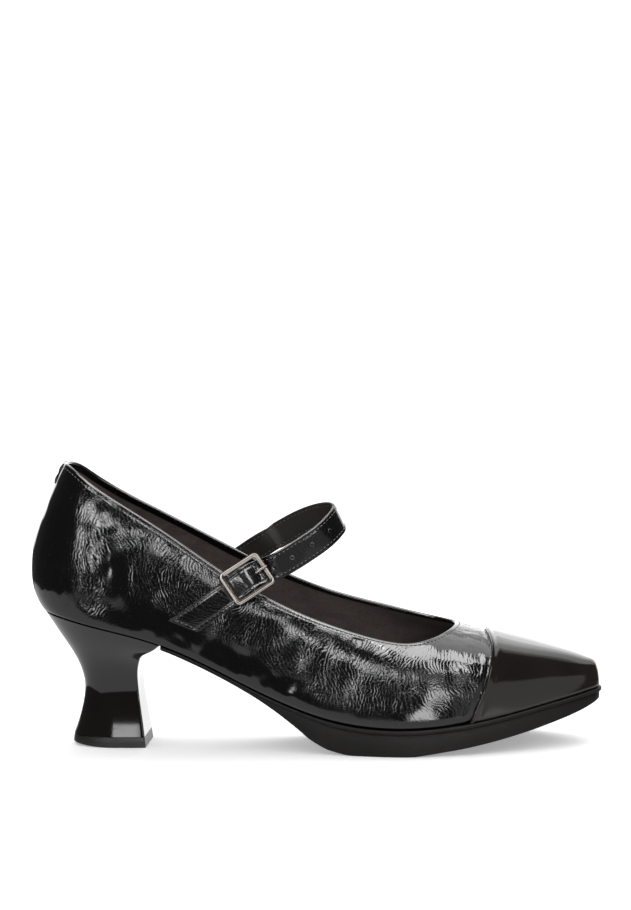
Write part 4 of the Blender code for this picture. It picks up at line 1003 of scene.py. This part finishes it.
def make_tread(look):
    """Fine ribs on the sole's underside from the ball to the toe: rows across the sole, each a low half round
    bar, joined as one mesh."""
    at = np.arange(*RIB_REACH, RIB_STEP)
    t = np.linspace(-1, 1, 15)
    outer, inner = (edge_points(side * toe_share(at))[0][:, 1, None] for side in (1, -1))
    reach = 1 - 8.0 / np.abs(outer - inner)
    y = (outer + inner) / 2 + t[None] * reach * (inner - outer) / 2
    x = at[:, None] + 1.6 * np.cos(t * math.pi / 2)[None]
    z = along_rows(TREAD, x, curve=tame)
    thick = (RIB_RISE - 0.02) * np.sqrt(1 - 0.95 * t**8)[None]
    cosine, sine = circle(8)
    rows = np.stack([x[..., None] + 0.85 * cosine, y[..., None] + 0 * cosine,
                     z[..., None] + RIB_RISE + thick[..., None] * sine], -1)
    one, faces = tube(rows[0])
    solid("tread_ribs", rows.reshape(-1, 3), repeated(faces, len(at), len(one)), [look], "sole_rubber")


def make_insole(look):
    """Sock on the insole board with its edge rounded over."""
    half = np.linspace(0.003, 0.5, 150)
    a = np.concatenate([half[:-1], 1 - half[::-1]])
    edge, plan = edge_points(upper_disc(a, 0 * a)[0])
    base = feather_height(edge[:, 0]) + FLANGE_THICK + CLEAR
    profile = [(2.6, INSOLE_THICK), (1.6, INSOLE_THICK)]
    profile += [(0.8 * (1 - sine), INSOLE_THICK - 0.8 * bow) for bow, sine in arc((0.3, 0.6, 1.0))]
    profile += [(0, 0)]
    rings = np.stack([edge - plan * (WALL + INSOLE_INSET + inset) for inset, _ in profile])
    rings[..., 2] = np.stack([base + rise for _, rise in profile])
    solid("insock", *stacked(rings), [look], "lining", ["insole"], sharp=75)


def heel_outline():
    """The heel's outline under the foot from the outer breast corner round the back to the inner one; the
    corners turn on quarter ellipses and run on a little across the breast."""
    reach = float(toe_share(BREAST_X - BREAST_ROUND))
    turn = np.linspace(-1, 1, 181)
    share = reach + (1 - reach) * np.sin((1 - np.abs(turn)) * math.pi / 2)
    edge, plan = edge_points(np.where(turn < 0, share, -share))
    ring = edge - plan * SEAT_INSET
    bend = np.linspace(0, math.pi / 2, 8)[1:]
    along = (BREAST_ROUND - CLEAR) * np.sin(bend)
    along = np.concatenate([along, along[-1:]])
    narrow = np.concatenate([BREAST_TAPER + (1 - BREAST_TAPER) * np.cos(bend), [BREAST_TAPER - 0.08]])
    first, last = (end[None] * np.stack([np.ones(8), narrow, np.ones(8)], -1) + np.stack(
        [along, 0 * along, 0 * along], -1) for end in (ring[0], ring[-1]))
    return np.concatenate([first[::-1], ring, last])


def heel_ring(outline, x_back, x_front, half_width, z_back, z_front):
    """The outline scaled to one level of the heel."""
    low, high, width = outline[:, 0].min(), outline[:, 0].max(), np.abs(outline[:, 1]).max()
    share = (outline[:, 0] - low) / (high - low)
    x, z = x_back + share * (x_front - x_back), z_back + share * (z_front - z_back)
    return np.stack(np.broadcast_arrays(x, outline[:, 1] * half_width / width, z), -1)


def make_heel(look):
    """Lacquered spool heel: the outline narrows to a waist and spreads again to the floor, its sizes splines
    through HEEL and the outline under the foot over the share of the height."""
    outline = heel_outline()
    back, front = outline[:, 0].min(), outline[:, 0].max()
    z_back, z_front = (float(feather_height(x)) - CLEAR for x in (back, front))
    seat = {3: back, 4: front, 5: np.abs(outline[:, 1]).max(), 1: z_back, 2: z_front}
    heights, shares = column(HEEL, 0) + [1], np.linspace(0, 1, 110)
    sizes = [spline(heights, column(HEEL, k) + [end], shares)[:, None] for k, end in seat.items()]
    rings = heel_ring(outline, *sizes)
    fit = ease(0.75, 1.0, shares)[:, None]
    rings[..., 2] += (feather_height(outline[:, 0]) - CLEAR - rings[-1, :, 2])[None] * fit
    solid("heel_block", *stacked(rings[::-1]), [look], "heel_gloss", ["heel"], sharp=50)


def make_heel_tip(look):
    """Top piece: flat on the floor at the front, bevelled up at the back, its edges rounded.  Each ring lies
    at a share of the thickness from the top and stands out by the flare there and its own step."""
    _, _, _, x_back, x_front, half_width = HEEL[0]
    levels = [(0, -0.9), (0, -0.15), (0.05, 0), (0.5, 0.02), (0.92, 0.06), (0.97, 0.02), (1, -0.12), (1, -1)]
    rings = []
    for share, grow in levels:
        flare = HEEL_TIP_FLARE * share + grow
        ring = heel_ring(heel_outline(), x_back - flare, x_front + flare, half_width + flare, 0, 0)
        along = (ring[:, 0] - ring[:, 0].min()) / np.ptp(ring[:, 0])
        floor = HEEL_TIP_BEVEL * np.clip(1 - 2 * along, 0, 1) ** 1.5
        ring[:, 2] = HEEL_TIP_THICK + (floor - HEEL_TIP_THICK) * share
        rings.append(ring)
    solid("top_piece", *stacked(np.stack(rings)), [look], "tip_rubber", ["heel_tip"], sharp=50)


# ---- strap, tab, buckle -----------------------------------------------------------------------
def strap_middle(t):
    """Middle line of the strap: splines through STRAP, its rows evenly apart in t."""
    knots = np.linspace(0, 1, len(STRAP))
    return np.stack([spline(knots, column(STRAP, k), t) for k in range(3)], -1)


def strap_surface(offsets, outs):
    """Points [station, k] of the strap at the offsets from its middle line and the distances outs from its
    middle face.  The band leans forward by STRAP_LEAN, lies on the tab at its outer end and on the quarter at
    its inner end, and rises as a pillow over the buckle's middle bar."""
    fine = np.linspace(0, 1, 2000)
    even = even_spacing(strap_middle(fine), len(fine))
    middle = strap_middle(np.interp(np.linspace(0, 1, STRAP_STATIONS), fine, even))
    along = unit(np.gradient(middle, axis=0))
    lean = math.radians(STRAP_LEAN)
    down = np.array([math.sin(lean), 0, -math.cos(lean)])
    width = unit(down - along * (along @ down)[:, None])
    half, outs = np.asarray(offsets)[None, :, None], np.asarray(outs)[None, :, None]
    free = middle[:, None] + half * width[:, None] + np.cross(width, along)[:, None] * outs
    from_buckle = np.linalg.norm(middle - strap_middle(np.array([1 / (len(STRAP) - 1)])), axis=1)
    pillow = PILLOW * np.cos(np.clip(from_buckle / PILLOW_REACH, 0, 1) * math.pi / 2) ** 2
    x, z, outer_side = middle[:, 0], middle[:, 2], middle[:, 1] < 0
    seat, above = (np.where(outer_side[:, None], side_point(x, z, 1, out), side_point(x, z, -1, out))
                   for out in (0.0, 1.0))
    normal = above - seat
    lift = np.where(outer_side, 2 * CLEAR + TAB_THICK + STRAP_THICK / 2 + pillow, INNER_GAP + STRAP_THICK / 2)
    cross = unit(np.cross(along, normal))
    landed = seat[:, None] + half * cross[:, None] + normal[:, None] * (lift[:, None, None] + outs)
    weight = 1 - np.where(outer_side, ease(*OUTER_LEAVES, x), ease(*INNER_LEAVES, x))
    return landed * weight[:, None, None] + free * (1 - weight[:, None, None])


def band_profile(width, thick, edge, groove):
    """Section of a stitched band as a loop mirrored about its middle line, from the lower edge over the outer
    face to the upper edge and back: flat faces with half round edges, pressed in by the stitches."""
    bend = np.linspace(math.pi, math.pi / 2, 6)
    lower = np.stack([-width / 2 + edge + edge * np.cos(bend), thick / 2 * np.sin(bend)], -1)
    across = np.linspace(-width / 2 + edge, width / 2 - edge, 31)[1:-1]
    dip = groove * bell(width / 2 - np.abs(across), STITCH_INSET, 0.45)
    puff = 0.12 * np.cos(np.clip(across / (width / 2 - STITCH_INSET), -1, 1) * math.pi / 2)
    outer = np.concatenate([lower, np.stack([across, thick / 2 - dip + puff], -1), lower[::-1] * [-1, 1]])
    return np.concatenate([outer, outer[-2:0:-1] * [1, -1]])


def make_strap(looks):
    """Instep strap: patent outside, smooth lining leather inside, from its tail under the buckle over the
    instep to its inner end."""
    section = band_profile(STRAP_WIDTH, STRAP_THICK, 0.55, 0.13)
    count, half = len(section), len(section) // 2
    rings = strap_surface(section[:, 0], section[:, 1])
    ripple = 0.05 * waves(rings, 5, 11, 21) * (np.arange(count) <= half)
    face = unit(np.cross(np.gradient(rings, axis=0)[:, 12], rings[:, half - 4] - rings[:, 4]))
    rings = rings - face[:, None] * ripple[..., None] * np.sign(section[None, :, 1:2])
    taper = np.ones((STRAP_STATIONS, 1, 1))
    taper[[0, -1]], taper[[1, -2]] = 0.55, 0.85
    core = rings[:, [0, half]].mean(axis=1, keepdims=True)
    rings = core + (rings - core) * taper
    points, faces = tube(rings)
    column_of = np.arange(len(faces)) % count
    walls = (STRAP_STATIONS - 1) * count
    look = ((column_of > half + 1) & (column_of < count - 1)).astype(int)
    look[walls:] = 0
    across = np.concatenate([section[:, 0], section[:1, 0]])
    flat = np.stack(np.broadcast_arrays(run_length(rings[:, 0])[:, None], across[None]), -1)
    uv = np.zeros(faces.shape + (2,))
    uv[:walls] = face_corners(flat * MM)
    solid("instep_strap", points, faces, looks, "patent", ["strap"], uv, look)


def strap_seams():
    """Stitch lines of the strap along both edges, outside from the buckle on and inside from the tail on."""
    reach, top = STRAP_WIDTH / 2 - STITCH_INSET, STRAP_THICK / 2 + 0.02
    sides = [-reach, reach, -reach, reach]
    rows = strap_surface(sides, [top, top, -top, -top])
    out = unit(rows - strap_surface(sides, [0, 0, 0, 0]))
    return [(rows[first:-6, k], out[first:-6, k]) for k, first in enumerate((34, 34, 6, 6))]


def tab_point(along, across, out):
    """Point of the buckle's tab on the outer quarter, along 0..1 from its slanted foot to the buckle and
    across in millimetres."""
    start, end = np.array(TAB_START), np.array(BUCKLE_AT)
    run = (end - start) / np.linalg.norm(end - start)
    flat = start + (end + run - start) * along[..., None] + np.array([run[1], -run[0]]) * across[..., None]
    flat = flat + run * (across / TAB_WIDTH * TAB_SLANT * (1 - along) ** 2)[..., None]
    return side_point(flat[..., 0], flat[..., 1], 1, out)


def make_strap_tab(look):
    """Tab under the buckle: a closed loop section carried along it, rounded at the foot."""
    section = band_profile(TAB_WIDTH, TAB_THICK, 0.5, 0.12)
    stations = 170
    along = np.broadcast_to(np.linspace(0, 1, stations)[:, None], (stations, len(section)))
    across = np.broadcast_to(section[None, :, 0], along.shape)
    at_foot = math.dist(BUCKLE_AT, TAB_START) * along
    dip = 0.12 * bell(at_foot, STITCH_INSET, 0.45) * (np.abs(across) < TAB_WIDTH / 2 - STITCH_INSET)
    level = section[None, :, 1] * round_edge(at_foot + 0.06, 0.5) - dip * (section[None, :, 1] > 0)
    points, faces = tube(tab_point(along, across, CLEAR + TAB_THICK / 2 + level))
    flat = np.stack([at_foot, across], -1) * MM
    uv = np.zeros(faces.shape + (2,))
    uv[: (stations - 1) * len(section)] = face_corners(np.concatenate([flat, flat[:, :1]], axis=1))
    solid("buckle_tab", points, faces, [look], "patent", ["strap_tab"], uv)


def tab_seams():
    """Stitch line round the tab: up one edge, along the foot and down the other."""
    reach = TAB_WIDTH / 2 - STITCH_INSET
    up = np.linspace(STITCH_INSET / math.dist(BUCKLE_AT, TAB_START), 0.9, 120)
    along = np.concatenate([up[::-1], np.full(60, up[0]), up])
    across = np.concatenate([np.full(120, -reach), np.linspace(-reach, reach, 60), np.full(120, reach)])
    path, above = (tab_point(along, across, np.full(300, CLEAR + TAB_THICK + rise)) for rise in (0.0, 1.0))
    return [(path, unit(above - path))]


def placed(points):
    """Points (along the strap, across it, out from the frame's underside) in the buckle's axes, which stand
    on the quarter under the buckle's middle."""
    x, z = (np.array([value]) for value in BUCKLE_AT)
    steps = ((0, 0), (0.5, 0), (-0.5, 0), (0, 0.5), (0, -0.5))
    origin, right, left, above, below = (side_point(x + dx, z + dz, 1, 0 * x)[0] for dx, dz in steps)
    by_x, by_z = right - left, above - below
    turn = math.radians(BUCKLE_TURN)
    along = unit(by_x * math.cos(turn) + by_z * math.sin(turn))
    out = unit(np.cross(by_x, by_z))
    return origin + out * BUCKLE_RISE + points @ np.stack([along, np.cross(along, out), out])


def rounded_loop(length, width, radius):
    """Rectangle with round corners, its places along and across."""
    quarter = np.repeat(np.arange(4), 13)
    angle = math.pi / 2 * (quarter + np.tile(np.linspace(0, 1, 13), 4))
    sign_x, sign_y = np.where((quarter == 0) | (quarter == 3), 1, -1), np.where(quarter < 2, 1, -1)
    along = sign_x * (length / 2 - radius) + radius * np.cos(angle)
    return along, sign_y * (width / 2 - radius) + radius * np.sin(angle)


def make_buckle(look):
    """Buckle frame: a bar section carried round a rounded rectangle, its outer edge well rounded and its
    inner edge bevelled; a round wire behind it is the middle bar and a leg at each of its ends."""
    length, width = BUCKLE_SIZE
    top, bar = BUCKLE_THICK, BUCKLE_BAR
    section = [
        (0.25, 0.0), (0.06, 0.1), (0.0, 0.3), (0.0, top - 0.85), (0.04, top - 0.66), (0.14, top - 0.42),
        (0.32, top - 0.2), (0.58, top - 0.05), (0.82, top), (1.02, top - 0.03), (1.16, top - 0.12),
        (1.24, top - 0.2), (bar - 0.14, top - 0.78), (bar - 0.04, top - 0.86), (bar, top - 0.98), (bar, 0.2),
        (bar - 0.15, 0.0),
    ]
    rings = []
    for inset, height in section:
        loop = rounded_loop(length - 2 * inset, width - 2 * inset, BUCKLE_ROUND + 0.25 - inset * 0.72)
        rings.append(np.stack(np.broadcast_arrays(*loop, height), -1))
    rings = np.stack(rings)
    reach, drop = width / 2 - bar / 2, BUCKLE_RISE - 2 * CLEAR - TAB_THICK
    path = np.array([(0, -reach, 0.5), (0, -reach, -0.5), (0, -reach, -drop + 1.2),
                     (0, -reach + 0.2, -drop + 0.75), (0, -reach + 0.7, -drop + 0.6)])
    path = np.concatenate([path, path[::-1] * [1, -1, 1]])
    t = np.linspace(0, 1, 60)
    path = np.stack([np.interp(t, np.linspace(0, 1, len(path)), path[:, k]) for k in range(3)], -1)
    front = np.array([1.0, 0, 0])
    post, post_faces = wire(path, 0.6, front, np.cross(unit(np.gradient(path, axis=0)), front), 16)
    points = np.concatenate([rings.reshape(-1, 3), post])
    faces = np.concatenate([loop_faces(rings), post_faces + len(points) - len(post)])
    solid("buckle_frame", placed(points), faces, [look], "nickel", ["buckle"], sharp=40)


def make_prong(look):
    """Tongue of the buckle: a round wire that comes up through the strap's hole, runs on to the front bar and
    ends in a rounded tip."""
    t = np.linspace(0, 1, 40)
    reach, rise, radius = (tame(np.linspace(0, 1, len(PRONG)), column(PRONG, k), t) for k in range(3))
    thick = radius * round_edge((1 - t) * np.ptp(column(PRONG, 0)) + 0.02, 0.6)
    path = np.stack([BUCKLE_SIZE[0] / 2 + reach, 0 * t, rise], -1)
    points, faces = wire(path, thick, (0, 1, 0), (0, 0, 1), 18)
    solid("buckle_tongue", placed(points), faces, [look], "nickel", ["buckle_prong"])


def make_holes(look):
    """Punched holes of the strap ahead of the buckle: low rings with a sunk floor."""
    middle, core = (strap_surface([0.0], [out])[:, 0] for out in (STRAP_THICK / 2 + 0.1, 0.0))
    cosine, sine = (part[:, None] for part in circle(20))
    section = [(0.0, -0.02), (0.55, -0.02), (0.7, 0.06), (0.85, 0.09), (1.0, 0.05), (1.08, -0.1), (0.0, -0.1)]
    rows = []
    for station in HOLE_STATIONS:
        up = unit(middle[station] - core[station])
        along = unit(middle[station + 1] - middle[station - 1])
        around = cosine * along + sine * np.cross(up, along)
        rows.append(np.stack([middle[station] + around * radius + up * rise for radius, rise in section]))
    faces = repeated(grid_faces(len(section), 20, wrap_columns=True), len(rows), rows[0].size // 3)
    solid("strap_holes", np.stack(rows).reshape(-1, 3), faces, [look], "patent")


def make_back_tab(look):
    """Strip over the top of the back seam up to the top line: a slab with two soft ripples whose edges round
    down to the leather."""
    high = math.radians(COLLAR[0][1])
    low = math.asin(math.sin(high) - BACK_TAB_HEIGHT / LAST[0][4])
    turn = np.linspace(-1, 1, 61)[:, None]
    angle = np.linspace(low, high, 90)[None, :] + 0 * turn
    r = 1 - turn * BACK_TAB_HALF
    u, w = r * np.cos(angle), r * np.sin(angle)
    height = BACK_TAB_HEIGHT * (angle - low) / (high - low)
    base = last_point(u, w)
    from_edge = (1 - np.abs(turn)) * (np.linalg.norm(base[-1] - base[0], axis=-1)[None] / 2)
    from_end = np.minimum(height, BACK_TAB_HEIGHT - height)
    edge = np.minimum(round_edge(from_edge + 0.02, 0.7), round_edge(from_end + 0.02, 1.6))
    rise = CLEAR + BACK_STRIP_RISE - 0.15 * np.cos(height * FULL_TURN / 4.5)
    foot = CLEAR * 0.2
    top = last_point(u, w, foot + (rise - foot) * edge - 0.1 * bell(from_edge, 1.1, 0.35) * edge)
    solid("back_strip", *slab(top, last_point(u, w, 0.02)), [look], "patent", ["back_tab"])


# ---- stage ------------------------------------------------------------------------------------
def aim(azimuth, elevation):
    """Unit direction at the azimuth from -Y towards +X and the elevation, in degrees."""
    turn, rise = math.radians(azimuth), math.radians(elevation)
    return Vector((math.sin(turn) * math.cos(rise), -math.cos(turn) * math.cos(rise), math.sin(rise)))


def make_camera():
    """Camera at CAMERA_AT, looking down its azimuth and elevation at the shoe and turned by its roll."""
    turn, roll = math.radians(CAMERA_AZIMUTH), math.radians(CAMERA_ROLL)
    back = aim(CAMERA_AZIMUTH, CAMERA_ELEVATION)
    right = Vector((math.cos(turn), math.sin(turn), 0))
    up = back.cross(right)
    across, above = right * math.cos(roll) + up * math.sin(roll), up * math.cos(roll) - right * math.sin(roll)
    data = bpy.data.cameras.new("camera")
    data.lens, data.sensor_width, data.clip_start, data.clip_end = CAMERA_LENS, 36.0, 0.05, 50
    turned = Matrix((across, above, back)).transposed().to_4x4()
    bpy.context.scene.camera = put_in("camera", data, Matrix.Translation(CAMERA_AT) @ turned)


def softbox(name, place, way, width, height, radiance, mirrored, state, pieces):
    """Area light at a place, facing against way, seen by the gloss alone or by matt surfaces alone; it lights
    only the pieces ("INCLUDE") or everything but them ("EXCLUDE").  Its power is four times its radiance
    times its area."""
    data = bpy.data.lights.new(name, "AREA")
    data.shape, data.size, data.size_y = "RECTANGLE", width, height
    data.energy = radiance * 4 * width * height
    light = put_in(name, data, Matrix.Translation(place) @ way.to_track_quat("Z", "Y").to_matrix().to_4x4())
    light.visible_camera, light.visible_diffuse, light.visible_glossy = False, not mirrored, mirrored
    receivers = bpy.data.collections.new(name + "_receivers")
    for piece in pieces:
        receivers.objects.link(bpy.data.objects[piece])
    for entry in receivers.collection_objects:
        entry.light_linking.link_state = state
    light.light_linking.receiver_collection = receivers


def make_lights():
    """The light tent's front panels and the softboxes over and behind the shoe."""
    for name, left, right, low, high, radiance, who in FRONT_PANELS:
        place = Vector(((left + right) / 2, -FRONT_DISTANCE, (low + high) / 2))
        softbox(name, place, Vector((0, -1, 0)), right - left, high - low, radiance, True, *who)
    for name, azimuth, elevation, distance, width, height, radiance, mirrored, who in SOFTBOXES:
        way = aim(azimuth, elevation)
        softbox(name, Vector(SOFTBOX_AIM) + way * distance, way, width, height, radiance, mirrored, *who)


def bare_tree(owner, end_kind):
    """Emptied node tree of a material or world, and its output's first socket."""
    owner.use_nodes = True
    owner.node_tree.nodes.clear()
    return Nodes(owner.node_tree), owner.node_tree.nodes.new(end_kind).inputs[0]


def make_stage():
    """Pale floor that the gloss doesn't mirror, a lit table under it that the gloss alone sees, and a studio
    world that is white to look at, soft on matt surfaces and dark in the gloss."""
    n = Look("floor_paper")
    fibre = n.noise(n.at, 300.0, 3.0)
    paper = n.dress(n.blend(fibre, (0.86, 0.86, 0.86), (0.90, 0.90, 0.90)), 0.9, Specular_IOR_Level=0.0,
                    Emission_Color=(1, 1, 1), Emission_Strength=FLOOR_GLOW)
    glow = bpy.data.materials.new("table_glow")
    n, end = bare_tree(glow, "ShaderNodeOutputMaterial")
    n.put(end, n.add("Emission", Color=(1, 1, 1), Strength=TABLE_GLOW))
    glow.cycles.emission_sampling = "NONE"
    sheets = (("floor", paper, FLOOR_REACH, 0.0), ("table", glow, TABLE_REACH, -TABLE_DEPTH))
    for name, look, reach, height in sheets:
        mesh = bpy.data.meshes.new(name)
        corners = [(x * reach, y * reach, height) for x, y in ((-1, -1), (1, -1), (1, 1), (-1, 1))]
        mesh.from_pydata(corners, [], [(0, 1, 2, 3)])
        mesh.materials.append(look)
        sheet = put_in(name, mesh)
        sheet.visible_glossy = name == "table"
        sheet.visible_camera = sheet.visible_diffuse = sheet.visible_shadow = name == "floor"
    world = bpy.data.worlds.new("studio")
    bpy.context.scene.world = world
    n, end = bare_tree(world, "ShaderNodeOutputWorld")
    path = n.tree.nodes.new("ShaderNodeLightPath").outputs
    seen = n.times(path["Is Camera Ray"], WORLD_SEEN - WORLD_MATT)
    gloss = n.times(path["Is Glossy Ray"], WORLD_GLOSS - WORLD_MATT)
    n.put(end, n.add("Background", Color=(1, 1, 1), Strength=n.plus(n.plus(seen, gloss), WORLD_MATT)))
    world.cycles.sampling_method = "NONE"


# ---- main -------------------------------------------------------------------------------------
def main():
    """Looks first, then the pieces, the lights and the stage."""
    bpy.context.scene.view_settings.view_transform = "Standard"
    crinkle_group()
    handling_group()
    grain_group()
    calm = patent_look("strap_patent", 0.000016, (0.0022, 0.0020, 0.0020), 0.09)
    suede = suede_look("suede_lining", (0.036, 0.025, 0.022), (0.082, 0.060, 0.054), 1400.0)
    inside = rubber_look("strap_lining_leather", (0.012, 0.009, 0.008), (0.020, 0.015, 0.013), 0.60, 0.3)
    rubber = rubber_look("sole_rubber", (0.0062, 0.0054, 0.0052), (0.0092, 0.0080, 0.0075), 0.50, 0.12)
    nickel, thread = metal_look(), thread_look()
    make_camera()
    top_seam = make_upper(patent_look("crinkled_patent", 0.000045, (0.0018, 0.0016, 0.0017), 0.08))
    make_lining(suede)
    make_toe_cap(smooth_patent_look())
    make_outsole(rubber)
    make_tread(rubber)
    make_insole(suede)
    make_heel(lacquer_look())
    make_heel_tip(rubber_look("tip_rubber", (0.009, 0.008, 0.0075), (0.014, 0.012, 0.0115), 0.40, 0.3))
    make_strap([calm, inside])
    make_strap_tab(calm)
    make_buckle(nickel)
    make_prong(nickel)
    make_holes(calm)
    make_back_tab(calm)
    for name, seams in (("strap", strap_seams()), ("tab", tab_seams()), ("topline", top_seam)):
        stitches(name + "_stitches", seams, thread)
    make_lights()
    make_stage()


main()
